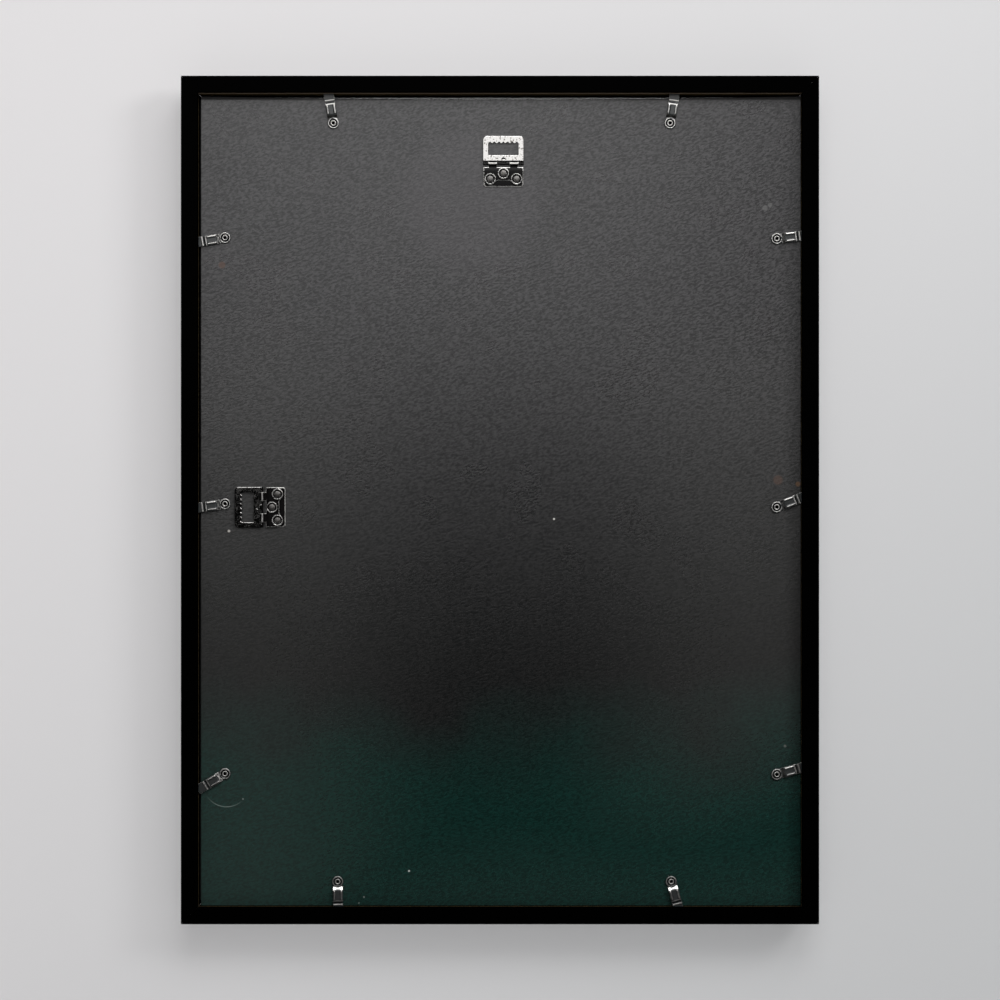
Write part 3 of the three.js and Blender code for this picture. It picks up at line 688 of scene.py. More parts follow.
# %% [markdown]
# The loops are steel, plated with bright nickel. Tumbling in the plating barrel leaves this warm grey metal
# bright but not mirror-flat: it is faintly wavy, with a scatter of small dark pits. The rivets are plain
# steel, dulled by the setting tool. What their roughness does to the softbox is the whole look: a sharp and
# blazing image in the loop, and a soft grey one in a rivet's head.

# %% Nickel and rivet steel
PIT_SPACING = 1.1
WAVE = 3.0


def pitted_metal(add, colour, low_roughness, high_roughness):
    point = add("TexCoord", output="Object")
    pits = uneven(add, point, PIT_SPACING, span(0.555, 0.655), Detail=2.0)
    tint = add("Mix", blend(pits, colour, "4a443c"), **COLOURS)
    roughness = uneven(add, point, 4, span(0.35, 0.7, low_roughness, high_roughness), Detail=4.0)
    wavy = add("TexNoise", {"Vector": point, "Scale": per_mm(WAVE)}, "Fac")
    bump = add("Bump", {"Height": wavy, "Distance": 0.002 * MM})
    plate = {"Base Color": tint, "Metallic": 1.0, "Roughness": roughness, "Normal": bump}
    return add("BsdfPrincipled", plate)


bright_nickel = new_material("bright_nickel_plate", pitted_metal, "c6c4c2", 0.1, 0.18)
rivet_steel = new_material("dull_rivet_steel", pitted_metal, "7a7876", 0.46, 0.52)
print("metal finishes:", bright_nickel.name, "and", rivet_steel.name)

# %% [markdown]
# The clips, straps and eyelets are dark inside thin bright outlines. That is steel with a dark conversion
# coat, rubbed through wherever an edge, a rib or a bead stands proud. Each piece carries an attribute,
# written
# by the code that shapes it: it is 2 where a thumb has burnished the metal, 1 where it is bare and matt, 0 on
# the coat and -1 where hollows are painted black, a painted shade. Matt metal draws grey lines, while the
# burnished ramps are white or black by what they mirror.

# %% Coated steel, worn at the edges, with painted shade in its hollows
def worn_coat_and_painted_shade(add, coat_colour, coat_roughness, coat_level, matt_roughness):
    point = add("TexCoord", output="Object")
    wear = add("Attribute", output="Fac", attribute_name="worn")
    ragged = uneven(add, point, 0.8, span(0.3, 0.7, -0.25, 0.25), {}, Detail=3.0)
    rubbed = add("Math", {0: wear, 1: ragged}, operation="ADD")
    bare = add("MapRange", {0: rubbed, **span(0.3, 0.7)}, **SMOOTH)
    # Below 0 the metal is painted black: painted shade in the hollows.
    painted_shade_share = add("MapRange", {0: rubbed, **span(-0.4, -0.8)}, **SMOOTH)
    satin = span(0.3, 0.7, coat_roughness - 0.03, coat_roughness + 0.03)
    cloudy = uneven(add, point, 1.5, satin, {}, Detail=5.0)
    coat = {"Base Color": srgb(coat_colour), "Roughness": cloudy, "Specular IOR Level": coat_level}
    burnished = add("MapRange", {0: rubbed, **span(1.3, 1.7, matt_roughness, 0.28)})
    steel = {"Base Color": srgb("cfcdca"), "Metallic": 1.0, "Roughness": burnished}
    # The black of the painted shade.
    painted_shade = {"Base Color": srgb("060606"), "Roughness": 0.9, "Specular IOR Level": 0.1}
    surface = add("MixShader", {0: bare, 1: add("BsdfPrincipled", coat), 2: add("BsdfPrincipled", steel)})
    return add("MixShader", {0: painted_shade_share, 1: surface, 2: add("BsdfPrincipled", painted_shade)})


clip_steel = new_material("grey_phosphated_spring_steel", worn_coat_and_painted_shade, "2a2c2c", 0.3, 0.65, 0.45)
strap_steel = new_material("black_oxide_steel", worn_coat_and_painted_shade, "0c0b0b", 0.2, 0.12, 0.45)
eyelet_steel = new_material("tumbled_eyelet_steel", worn_coat_and_painted_shade, "0c0b0b", 0.3, 0.12, 0.55)
print("coated finishes:", clip_steel.name, strap_steel.name, "and", eyelet_steel.name)

# %% [markdown]
# Sheet metal is made from a flat pattern: the outline is stamped out of the strip, then bent and embossed.
# The same is done here. A pattern is a list of points in millimetres, and a form is a formula that says
# where each of them ends up. The rim is rounded over, because it is the rim that glints.

# %% Drawing a pattern
def arc(middle, radius, start, end, steps=12):
    """Points on an arc, with its angles in degrees."""
    angles = np.radians(np.linspace(start, end, steps + 1))
    return [(middle[0] + radius * math.cos(a), middle[1] + radius * math.sin(a)) for a in angles]


def both_sides(half):
    """Half of a symmetrical pattern, and the other half as it comes back."""
    return half + [(-x, y) for x, y in reversed(half)]


def ease(value, start, end):
    """0 before start, 1 after end and a smooth rise between them."""
    share = min(max((value - start) / (end - start), 0.0), 1.0)
    return share * share * (3 - 2 * share)


def between(value, rise, fall):
    """0, then 1 between a smooth rise and a smooth fall, then 0."""
    return ease(value, *rise) * (1 - ease(value, *fall))


def near_line(value, line, width):
    """1 on a line and almost nothing beyond that width of it."""
    return math.exp(-(((value - line) / width) ** 2))


def close_points(loop, spacing):
    """The closed loop with points no further apart than the spacing, and no two alike."""
    points = []
    for here, ahead in zip(loop, loop[1:] + loop[:1]):
        gap = math.dist(here, ahead)
        steps = math.ceil(gap / spacing) if gap > 1e-4 else 0
        points += [tuple(a + (b - a) * k / steps for a, b in zip(here, ahead)) for k in range(steps)]
    return points


def inward_normals(loop):
    """For each point of a loop the way to the metal, which lies on the left as the loop runs."""
    normals = []
    for before, ahead in zip(loop[-1:] + loop[:-1], loop[1:] + loop[:1]):
        run = Vector(ahead) - Vector(before)
        normals.append(Vector((-run.y, run.x)).normalized())
    return normals


def is_inside(point, loop):
    """True if the loop goes round the point."""
    x, y = point
    crossings = 0
    for (ax, ay), (bx, by) in zip(loop, loop[1:] + loop[:1]):
        crossings += (ay > y) != (by > y) and x < (bx - ax) * (y - ay) / (by - ay) + ax
    return crossings % 2 == 1


print("a 3 mm circle has", len(close_points(arc((0, 0), 3, 0, 360, 48), 0.4)), "points")

# %% [markdown]
# Stamping draws the pattern's edges in by the radius of the rim and fills what is left with triangles, once
# for each face of the sheet. Then each point of an edge gets a column of points that goes round the rim from
# one face to the other.

# %% Stamping a sheet
RIM_STEPS = (0.0, 30.0, 60.0, 90.0)  # degrees round the rim's upper corner


def stamp(outline, holes, inner_points, form, thickness, rim, spacing):
    """A sheet metal shell in millimetres as vertices and faces, and the set of vertices along its rims. The
    outline runs anticlockwise, and holes run clockwise. The form takes a pattern point and a height above
    the middle of the sheet."""
    loops = [close_points(loop, spacing) for loop in (outline, *holes)]
    normals = [inward_normals(loop) for loop in loops]
    seams = []
    points = []
    edges = []
    for loop, ways in zip(loops, normals):
        seam = [(p[0] + n.x * rim, p[1] + n.y * rim) for p, n in zip(loop, ways)]
        first = len(points)
        edges += [(first + k, first + (k + 1) % len(seam)) for k in range(len(seam))]
        points += seam
        seams.append(seam)

    def on_metal(point):
        return is_inside(point, seams[0]) and not any(is_inside(point, seam) for seam in seams[1:])

    near = KDTree(len(points))
    for index, point in enumerate(points):
        near.insert((*point, 0), index)
    near.balance()
    points += [p for p in inner_points if near.find((*p, 0))[2] > 0.45 * spacing and on_metal(p)]
    flat, _, triangles, origins, *_ = delaunay_2d_cdt([Vector(p) for p in points], edges, [], 0, 1e-6)
    kept = []
    for triangle in triangles:
        a, b, c = (flat[i] for i in triangle)
        if on_metal((a + b + c) / 3):
            turned_left = (b - a).cross(c - a) > 0
            kept.append(tuple(triangle) if turned_left else tuple(reversed(triangle)))
    half = thickness / 2
    count = len(flat)
    vertices = [form(p.x, p.y, side) for side in (half, -half) for p in flat]
    faces = kept + [tuple(count + i for i in reversed(triangle)) for triangle in kept]
    found = {origin: index for index, ids in enumerate(origins) for origin in ids}
    rims = set()
    first = 0
    for seam, ways in zip(seams, normals):
        columns = []
        for k, (point, way) in enumerate(zip(seam, ways)):
            corner = found[first + k]
            column = [corner]
            for side, angles in ((1, RIM_STEPS[1:]), (-1, RIM_STEPS[:0:-1])):
                for angle in np.radians(angles):
                    out = rim * math.sin(angle)
                    up = side * (half - rim + rim * math.cos(angle))
                    column.append(len(vertices))
                    vertices.append(form(point[0] - way.x * out, point[1] - way.y * out, up))
            columns.append([*column, count + corner])
            rims.update(columns[-1])
        first += len(seam)
        for here, ahead in zip(columns, columns[1:] + columns[:1]):
            for step in range(len(here) - 1):
                faces.append((here[step], here[step + 1], ahead[step + 1], ahead[step]))
    return vertices, faces, rims


print("a rim's corner is rounded in", len(RIM_STEPS) - 1, "steps")

# %% [markdown]
# Two more ways to a shape. Where one height formula describes a sheet, its form follows from that height and
# its slopes. A pin or a tube is a profile that is carried round its axis, as on a lathe.

# %% Forming a sheet and turning a pin
def height_form(height):
    """The form of a sheet whose middle has that height in millimetres at each pattern point."""
    reach = 0.02

    def form(x, y, up):
        slope_x = (height(x + reach, y) - height(x - reach, y)) / (2 * reach)
        slope_y = (height(x, y + reach) - height(x, y - reach)) / (2 * reach)
        normal = Vector((-slope_x, -slope_y, 1)).normalized()
        return Vector((x, y, height(x, y))) + normal * up

    return form


def grid(low_x, high_x, low_y, high_y, spacing):
    """Pattern points in staggered rows."""
    rows = np.arange(low_y, high_y, spacing * 0.87)
    return [
        (x + (row % 2) * spacing / 2, y)
        for row, y in enumerate(rows)
        for x in np.arange(low_x, high_x, spacing)
    ]


def turned(profile, steps=48):
    """A profile of radius and height points, turned round the upright axis. A profile that doesn't start
    and end on the axis closes on itself."""
    vertices = []
    rings = []
    for radius, height in profile:
        count = steps if radius else 1
        rings.append([len(vertices) + k % count for k in range(steps)])
        for angle in 2 * np.pi * np.arange(count) / steps:
            vertices.append(Vector((radius * math.cos(angle), radius * math.sin(angle), height)))
    closing = rings[:1] if profile[0][0] else []
    faces = []
    for low, high in zip(rings, rings[1:] + closing):
        for k in range(steps):
            ahead = (k + 1) % steps
            corners = (low[k], low[ahead], high[ahead], high[k])
            faces.append(tuple(dict.fromkeys(corners)))  # on the axis two corners are one
    return vertices, faces


print("a plain pin has", len(turned([(0, 0), (1, 0), (1, 1), (0, 1)])[1]), "faces")

# %% [markdown]
# A shape becomes a piece when it has its finish and its wear, a place on the board, and the part of the
# frame that it moves with and stands for.

# %% Making and placing a piece
SMOOTH_ANGLE = 35


def make_mesh(name, vertices, faces, material, worn=()):
    """A mesh from millimetres, smooth except at its sharp edges, with its wear if it is given."""
    mesh = bpy.data.meshes.new(name)
    mesh.from_pydata([vertex * MM for vertex in vertices], [], faces)
    mesh.shade_smooth()
    mesh.set_sharp_from_angle(angle=math.radians(SMOOTH_ANGLE))
    mesh.materials.append(material)
    if worn:
        mesh.attributes.new("worn", "FLOAT", "POINT").data.foreach_set("value", worn)
    print(name, "has", len(mesh.polygons), "faces")
    return mesh


def place_piece(name, mesh, matrix, body, stands_for):
    """An object of that mesh which rides on a body in the place of a piece of the frame."""
    made = new_object(name, mesh)
    made.matrix_world = matrix
    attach(made, body)
    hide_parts(stands_for)


def stand(origin, upward):
    """The place of a piece on the board: its y runs along upward and its z out of the back."""
    out = Vector((0, 1, 0))
    along = Vector(upward).normalized()
    axes = Matrix((along.cross(out), along, out)).transposed().to_4x4()
    axes.translation = origin
    return axes


print("edges sharper than", SMOOTH_ANGLE, "degrees stay sharp")

# %% [markdown]
# A turn clip is a strip of spring steel. Round its eyelet the strip is pressed into a ring, then it climbs a
# ramp to a raised bridge with a rib along each side, drops to a thin tongue with one cross bead, and the
# tongue goes into the groove of the rail. All of that is one height formula over the flat strip.

# %% Turn clips: the formulas
SEAT = 0.3
CLIP_SHEET = 0.6
CLIP_HALF = 3.8
CLIP_REACH = 24.2
CLIP_HEAD_RADIUS = 4.3
CLIP_HOLE = 1.78
CLIP_TIP_RADIUS = 1.2
CLIP_RAMP = (3.6, 6.9)
CLIP_DROP = (14.6, 16.4)
CLIP_BEAD = 17.4
CLIP_BRIDGE_RISE = 1.6
CLIP_TONGUE_RISE = 1.0
CLIP_RIB_PLACE = 2.6
CLIP_RIB_RISE = 0.5
CLIP_RIM = 0.22
CLIP_CELL = 0.42


def clip_height(x, y):
    """The middle of the clip's sheet above the board."""
    height = SEAT + CLIP_SHEET / 2
    height += CLIP_BRIDGE_RISE * ease(y, *CLIP_RAMP)
    height -= (CLIP_BRIDGE_RISE - CLIP_TONGUE_RISE) * ease(y, *CLIP_DROP)
    for side in (-1, 1):
        rib = between(y, (6.4, 7.4), (13.2, 14.2)) * near_line(x, side * CLIP_RIB_PLACE, 0.6)
        height += CLIP_RIB_RISE * rib
    height += 0.3 * near_line(y, CLIP_BEAD, 0.55)
    return height + 0.45 * between(math.hypot(x, y), (2.7, 3.5), (3.8, 4.5))


def clip_wear_and_shade(x, y):
    """How worn the clip's face is, with painted shade: burnished on the ramp, bare on the ribs, the end of
    the bridge, the bead and the ring round the eyelet, and painted black inside the ring, where the strip
    drops to the tongue and just inside the ribs, as painted shade."""
    radius = math.hypot(x, y)
    side = ease(abs(x), 1.0, 2.8)
    wider = 0.6 * side
    on_ramp = between(y, (4.2 - wider, 4.7 - wider), (5.3 + wider, 5.9 + wider))
    on_bridge = between(y, (6.6, 7.2), (13.4, 14.2))
    rib = near_line(abs(x), CLIP_RIB_PLACE + 0.1, 0.4) * on_bridge
    ring = 1.5 * near_line(radius, 3.65, 0.3) if y < 3.4 else 0.0
    cross_lines = 2 * max(near_line(y, 14.5, 0.3), near_line(y, CLIP_BEAD, 0.4))
    bare = max((1.4 + 0.6 * side) * on_ramp, 2 * rib, cross_lines, ring)
    inside_rib = 0.7 * near_line(abs(x), 1.8, 0.3) * on_bridge
    # Painted shade: black inside the eyelet's ring, at the drop to the tongue and just inside the ribs.
    painted_shade = max(1 - ease(radius, 3.0, 3.3), near_line(y, 15.6, 0.5), inside_rib)
    return bare - painted_shade


print("the bridge's top is", round(clip_height(0, 10) + CLIP_SHEET / 2, 2), "mm above the board")

# %% [markdown]
# The clips are set by hand, so no two lean alike. Each new one gets its place from the joint that it turns
# on, and its direction from the clip that it stands for.

# %% Turn clips: the pieces
def clip_mesh():
    shoulder = math.degrees(math.acos(CLIP_HALF / CLIP_HEAD_RADIUS))
    tip_x, tip_y = CLIP_HALF - CLIP_TIP_RADIUS, CLIP_REACH - CLIP_TIP_RADIUS
    outline = both_sides(arc((tip_x, tip_y), CLIP_TIP_RADIUS, 0, 90, 6))
    outline += arc((0, 0), CLIP_HEAD_RADIUS, 180 - shoulder, 360 + shoulder, 44)
    hole = arc((0, 0), CLIP_HOLE, 360, 0, 36)
    inner = grid(-CLIP_HALF, CLIP_HALF, -CLIP_HEAD_RADIUS, CLIP_REACH, CLIP_CELL)
    form = height_form(clip_height)
    vertices, faces, rims = stamp(outline, [hole], inner, form, CLIP_SHEET, CLIP_RIM, CLIP_CELL)
    worn = [clip_wear_and_shade(v.x, v.y) for v in vertices]
    # The head's rims are painted dark, a painted shade round its outline; the other rims are partly bare.
    for index in rims:
        worn[index] = 0.45 if vertices[index].y > 3.4 else -0.5
    return make_mesh("turn_clip", vertices, faces, clip_steel, worn)


def tip_direction(node, pivot):
    """Which way a clip of the frame points from its pivot: the middle of its furthest corners."""
    offsets = [Vector((v.co.x - pivot.x, 0, v.co.z - pivot.z)) for v in nodes[node].data.vertices]
    reach = max(offset.length for offset in offsets)
    return sum((o for o in offsets if o.length > reach - 0.1 * MM), Vector()).normalized()


clip_shape = clip_mesh()
clip_names = sorted(name for name in nodes if name.startswith("clip_"))
clip_stands = {}
for name in clip_names:
    place = name.removeprefix("clip_")
    pivot = Vector(joints[place + "_clip_turn"]["pos_m"])
    pivot.y = board_back
    clip_stands[place] = stand(pivot, tip_direction(name, pivot))
    place_piece("turn_clip_" + place, clip_shape, clip_stands[place], place + "_clip", name)
print("clips:", len(clip_names))

# %% [markdown]
# Each clip turns on a hollow eyelet, a short tube whose upper end is rolled outwards over the clip and
# whose lower end is spread in the board. It is a turned shape: one closed profile carried round its axis.
# Only the crown of the roll is rubbed bright; the rest of the eyelet is painted black as painted shade.

# %% Eyelets
EYELET_BORE = 1.2
EYELET_BARREL = 1.6
EYELET_TAIL = 2.4
EYELET_FLANGE = 2.25
EYELET_RUBBED = 2.1
EYELET_UNDER = SEAT + CLIP_SHEET + 0.18
EYELET_ROLL = 0.55
BOARD_THICKNESS = 3.0
COUNTERBORE = 0.8
TAIL = 0.5
TAIL_FLOOR = COUNTERBORE - BOARD_THICKNESS - TAIL - 0.15


def shank(tail_radius, radius, top):
    """The profile that an eyelet and a rivet share: the tail spread in the board, and the shank up to a
    height."""
    return [
        (tail_radius, TAIL_FLOOR),
        (tail_radius, TAIL_FLOOR + TAIL),
        (radius, TAIL_FLOOR + TAIL),
        (radius, top),
    ]


def eyelet_mesh():
    roll_middle = (EYELET_FLANGE + EYELET_BORE) / 2
    roll_half = (EYELET_FLANGE - EYELET_BORE) / 2
    crown = [
        (roll_middle + roll_half * math.cos(a), EYELET_UNDER + EYELET_ROLL * (0.35 + 0.65 * math.sin(a)))
        for a in np.linspace(0, math.pi, 13)
    ]
    barrel = shank(EYELET_TAIL, EYELET_BARREL, EYELET_UNDER)
    profile = [(EYELET_BORE, TAIL_FLOOR), *barrel, (EYELET_FLANGE - 0.15, EYELET_UNDER), *crown]
    vertices, faces = turned(profile, 40)
    crown_height = EYELET_UNDER + EYELET_ROLL * 0.45
    # All of the eyelet but its rubbed crown is painted black, a painted shade.
    worn = [1.0 if v.z > crown_height and math.hypot(v.x, v.y) < EYELET_RUBBED else -1.0 for v in vertices]
    return make_mesh("rolled_eyelet", vertices, faces, eyelet_steel, worn)


eyelet_shape = eyelet_mesh()
for place, matrix in clip_stands.items():
    place_piece("rolled_eyelet_" + place, eyelet_shape, matrix, "frame", "eyelet_" + place)
print("eyelets:", len(clip_stands))

# %% [markdown]
# A hanger strap is one sheet folded in two round the loop's axle. Its flat pattern is a long plate with a
# window and two side notches where the fold will be, so that only two tabs go round as curls. The form
# carries it along a bending line: under the axle, round it and back on top. The rivets pull the ends
# together while the axle holds the fold open, so the upper layer slopes a little.

# %% Hanger straps: the bending line
STRAP_REACH = 17.6
STRAP_SHOULDER = 2.6
AXIS_RISE = 1.9
CURL_RADIUS = 1.3  # from the hinge axis to the middle of the sheet
CURL_END = 165  # how far the sheet goes round the axle, in degrees
UPPER_END = 1.22  # height of the upper layer's middle at its far end
UPPER_CREST = (-5.4, 1.9)  # its place and height where it is highest
UPPER_START = 1.5  # its height where it comes off the curls
LOWER_END = 0.33
LOWER_BEND = -13.2  # from here the lower layer's end is pressed down to the board


def bending_line():
    """The middle of the folded sheet in y and z, as close points with the length up to each."""
    curl = arc((0, AXIS_RISE), CURL_RADIUS, -90, CURL_END, 40)
    line = [(-STRAP_REACH, LOWER_END), (LOWER_BEND, AXIS_RISE - CURL_RADIUS), *curl]
    for (end_y, end_z), steps in (((0.3 - STRAP_SHOULDER, UPPER_START), 14), (UPPER_CREST, 8)):
        start_y, start_z = line[-1]
        for share in np.linspace(0, 1, steps + 1)[1:]:
            z = start_z + (end_z - start_z) * ease(share, 0, 1)
            line.append((start_y + (end_y - start_y) * share, z))
    line.append((-STRAP_REACH, UPPER_END))
    lengths = np.cumsum([0] + [math.dist(a, b) for a, b in zip(line, line[1:])])
    return np.array(line), lengths


fold_line, fold_lengths = bending_line()
upper_origin = fold_lengths[-1] - STRAP_REACH  # pattern length at which the upper layer is at y = 0


def fold_point(length):
    """The point of the bending line at that length."""
    return Vector([float(np.interp(length, fold_lengths, fold_line[:, axis])) for axis in (0, 1)])


def upper_height(y):
    """The height of the upper layer's middle at that y, beyond its crest."""
    crest_y, crest_z = UPPER_CREST
    return crest_z + (UPPER_END - crest_z) * (crest_y - y) / (crest_y + STRAP_REACH)


print("the strap's flat pattern is", round(float(fold_lengths[-1]), 1), "mm long")

# %% [markdown]
# The pattern's right half is drawn and mirrored. It ends in a lobe round each lower rivet. A shallow dish
# is pressed round every rivet, and the coat is rubbed off the dishes' rims and the crowns of the curls.

# %% Hanger straps: the sheet
STRAP_HALF = 15.2
STRAP_SHEET = 0.6
STRAP_CORNER = 2.3
STRAP_RIM = 0.22
STRAP_CELL = 0.62
LOWER_CELL = 1.4
CURL_HALF = 3.4
CURL_PLACE = 8.1
LOBE_RADIUS = 4.2
SCALLOP_EDGE = 12.8
SCALLOP_FLAT = 4.0
SCALLOP_SIDE = -11.9
RIVET_HOLE = 1.8
RIVET_PLACES = {"upper": (0, -7.3), "lower_left": (-10.0, -11.5), "lower_right": (10.0, -11.5)}
DISH_RADIUS = 3.0
DISH_DEPTH = 0.2
DISH_RIM = 0.22


def dish(x, y):
    """How far the pressed dishes lift or sink the upper layer."""
    lift = 0.0
    for rivet_x, rivet_y in RIVET_PLACES.values():
        radius = math.hypot(x - rivet_x, y - rivet_y)
        lift -= DISH_DEPTH * (1 - ease(radius, DISH_RADIUS - 0.1, DISH_RADIUS + 0.6))
        lift += DISH_RIM * near_line(radius, DISH_RADIUS + 0.7, 0.35)
    return lift


def strap_form(x, length, up):
    """Where a point of the strap's flat pattern ends up."""
    back, here, ahead = (fold_point(length + step) for step in (-0.15, 0, 0.15))
    run = (ahead - back).normalized()
    on_top = length > upper_origin + STRAP_SHOULDER
    lift = dish(x, upper_origin - length) if on_top else 0.0
    # The pattern's face is inside the fold, so a lift on the upper layer goes out of the fold.
    across = Vector((-run.y, run.x))
    point = here + across * (up - lift)
    return Vector((x, point.x, point.y))


def strap_wear(vertex):
    """Where the coat is rubbed off the strap: the crowns of the curls and the rims of the dishes."""
    crown = ease(vertex.z, AXIS_RISE + CURL_RADIUS + 0.1, AXIS_RISE + CURL_RADIUS + 0.28)
    rims = [
        1.6 * near_line(math.hypot(vertex.x - x, vertex.y - y), DISH_RADIUS + 0.8, 0.22)
        for x, y in RIVET_PLACES.values()
    ]
    return max(crown, *rims) if vertex.z > UPPER_END else 0.0


def strap_mesh():
    inner_x = STRAP_HALF - STRAP_CORNER
    low_shoulder = STRAP_REACH - STRAP_SHOULDER
    high_shoulder = upper_origin + STRAP_SHOULDER
    near, far = CURL_PLACE - CURL_HALF, CURL_PLACE + CURL_HALF

    lobe = [p for p in arc(RIVET_PLACES["lower_right"], LOBE_RADIUS, -25, -140, 16) if p[0] < STRAP_HALF]
    flat_edge = [(SCALLOP_FLAT + 0.5, 0.05 - SCALLOP_EDGE), (SCALLOP_FLAT - 0.6, -SCALLOP_EDGE)]
    half = arc((inner_x, STRAP_CORNER), STRAP_CORNER, 270, 360, 8)
    half += [(STRAP_HALF, low_shoulder), (far, low_shoulder), (far, high_shoulder)]
    half += [(STRAP_HALF, high_shoulder)]
    half += [(x, upper_origin - y) for x, y in [(STRAP_HALF, SCALLOP_SIDE), *lobe, *flat_edge]]
    holes = [[(near, low_shoulder), (-near, low_shoulder), (-near, high_shoulder), (near, high_shoulder)]]
    for x, y in RIVET_PLACES.values():
        holes += [arc((x, length), RIVET_HOLE, 360, 0, 24) for length in (upper_origin - y, STRAP_REACH + y)]
    inner = grid(-STRAP_HALF, STRAP_HALF, 0, low_shoulder, LOWER_CELL)
    inner += grid(-STRAP_HALF, STRAP_HALF, low_shoulder, fold_lengths[-1], STRAP_CELL)
    outline = both_sides(half)
    vertices, faces, rims = stamp(outline, holes, inner, strap_form, STRAP_SHEET, STRAP_RIM, STRAP_CELL)
    worn = [1.0 if index in rims else strap_wear(v) for index, v in enumerate(vertices)]
    return make_mesh("folded_strap", vertices, faces, strap_steel, worn)


strap_shape = strap_mesh()
hanger_stands = {}
for place in ("top", "side"):
    swing = joints[place + "_loop_swing"]
    axis = Vector(swing["axis"])
    pivot = Vector(swing["pos_m"])
    upward = Vector((0, 1, 0)).cross(axis)
    pivot.y = board_back
    hanger_stands[place] = stand(pivot, upward)
    name = "folded_strap_" + place
    stands_for = "hanger_strap_" + place
    place_piece(name, strap_shape, hanger_stands[place], "frame", stands_for)
print("straps:", len(hanger_stands))

# %% [markdown]
# The loop is a stamped plate with a window whose upper edge is a row of notches for the nail. Its lower
# edge carries a round black axle bar that runs through the curls. It leans a little, until its end meets the
# board, and that lean is what makes the upper one catch the softbox.

# %% Sawtooth loops
LOOP_HALF = 15.45
LOOP_REACH = 21.2
LOOP_SHEET = 1.2
LOOP_CORNER = 3.2
LOOP_LEG = 4.05
LOOP_BAR_END = 6.5
LOOP_SLOT_END = 2.1
LOOP_RIM = 0.2
LOOP_CELL = 0.6
END_TAB = 3.0
MIDDLE_TAB = 4.0
NOTCH_PITCH = 3.38
NOTCH_TOP = 16.7
TOOTH_DEPTH = 1.3
TAB_DIP = 0.5
AXLE_RADIUS = 0.7
MARK_RADIUS = 1.3
MARK_PLACE = 3.3
loop_lean = math.asin((AXIS_RISE - LOOP_SHEET / 2 - SEAT) / LOOP_REACH)


def loop_height(x, y):
    """The tabs at the axle dip a little below the rest of the plate."""
    return -TAB_DIP * (1 - ease(y, 0.5, LOOP_SLOT_END + 0.3))


def sawtooth(x):
    """The height of the notched edge across the window: narrow notches between rounded teeth."""
    phase = abs((x / NOTCH_PITCH + 0.5) % 1.0 - 0.5) * 2
    return NOTCH_TOP - TOOTH_DEPTH * math.sin(math.pi / 2 * phase) ** 1.3


def loop_mesh():
    inner_x = LOOP_HALF - LOOP_CORNER
    inner_y = LOOP_REACH - LOOP_CORNER
    window_half = LOOP_HALF - LOOP_LEG
    slot_out, slot_in = LOOP_HALF - END_TAB, MIDDLE_TAB / 2
    slot = [(-slot_out, 0), (-slot_out, LOOP_SLOT_END), (-slot_in, LOOP_SLOT_END), (-slot_in, 0)]
    outline = both_sides([(-LOOP_HALF, 0), *slot])
    outline += both_sides(arc((inner_x, inner_y), LOOP_CORNER, 0, 90, 12))
    teeth = [(x, sawtooth(x)) for x in np.linspace(-window_half, window_half, 97)]
    window = [(window_half, LOOP_BAR_END), (-window_half, LOOP_BAR_END), *teeth]
    mark = arc((0, MARK_PLACE), MARK_RADIUS, 180, 0, 12)
    inner = grid(-LOOP_HALF, LOOP_HALF, 0, LOOP_REACH, LOOP_CELL)
    plate = stamp(outline, [window, mark], inner, height_form(loop_height), LOOP_SHEET, LOOP_RIM, LOOP_CELL)
    return make_mesh("sawtooth_loop", *plate[:2], bright_nickel)


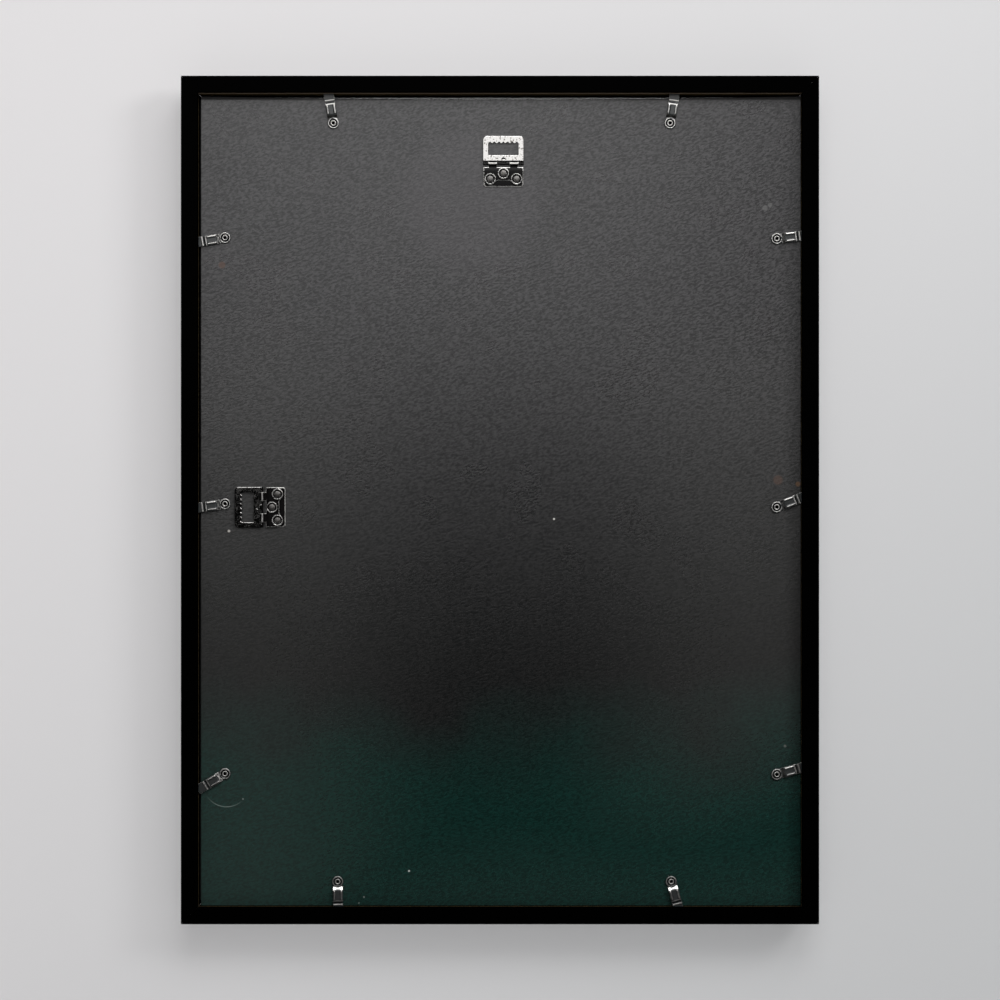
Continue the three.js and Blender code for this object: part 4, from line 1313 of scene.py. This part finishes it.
def axle_mesh():
    axle_end = LOOP_HALF - 0.15
    profile = [(0, -LOOP_HALF), (AXLE_RADIUS - 0.15, -LOOP_HALF), (AXLE_RADIUS, -axle_end)]
    profile += [(radius, -height) for radius, height in reversed(profile)]
    vertices, faces = turned(profile, 24)
    along_x = Matrix.Rotation(math.radians(90), 3, "Y")
    return make_mesh("loop_axle", [along_x @ v for v in vertices], faces, strap_steel)


loop_shape = loop_mesh()
axle_shape = axle_mesh()
for place, matrix in hanger_stands.items():
    hinge = matrix @ Matrix.Translation((0, 0, AXIS_RISE * MM)) @ Matrix.Rotation(-loop_lean, 4, "X")
    for name, shape in (("sawtooth_loop_", loop_shape), ("loop_axle_", axle_shape)):
        place_piece(name + place, shape, hinge, place + "_loop", "hanger_loop_" + place)
print("the loops lean", round(math.degrees(loop_lean), 2), "degrees")

# %% [markdown]
# Three rivets hold each strap. A rivet has a shank, a flat head with its edge bevelled by the setting tool,
# and a tail spread in the board's counterbore. The strap's upper layer slopes, so the rivet nearer to the
# hinge stands a little higher than the two others.

# %% Rivets
RIVET_SHANK = 1.5
RIVET_TAIL = 2.3
RIVET_HEAD = 2.35
RIVET_RISE = 0.5
RIVET_BEVEL = 0.3
RIVET_SINK = 0.12  # of the head into the dish, whose floor slopes


def rivet_mesh(spot):
    under = upper_height(RIVET_PLACES[spot][1]) + STRAP_SHEET / 2 - DISH_DEPTH - RIVET_SINK
    profile = [
        (0, TAIL_FLOOR),
        *shank(RIVET_TAIL, RIVET_SHANK, under),
        (RIVET_HEAD, under),
        (RIVET_HEAD, under + RIVET_RISE - RIVET_BEVEL),
        (RIVET_HEAD - RIVET_BEVEL * 0.3, under + RIVET_RISE - RIVET_BEVEL * 0.3),
        (RIVET_HEAD - RIVET_BEVEL, under + RIVET_RISE),
        (0, under + RIVET_RISE + 0.04),
    ]
    return make_mesh("set_rivet_" + spot, *turned(profile, 36), rivet_steel)


for spot, (x, y) in RIVET_PLACES.items():
    rivet_shape = rivet_mesh(spot)
    for place, matrix in hanger_stands.items():
        where = matrix @ Matrix.Translation((x * MM, y * MM, 0))
        name = place + "_" + spot
        place_piece("set_rivet_" + name, rivet_shape, where, "frame", "rivet_" + name)
print("rivets:", len(hanger_stands) * len(RIVET_PLACES))

# %% [markdown]
# The last cell closes the script.

# %% The end
print("end of the script")
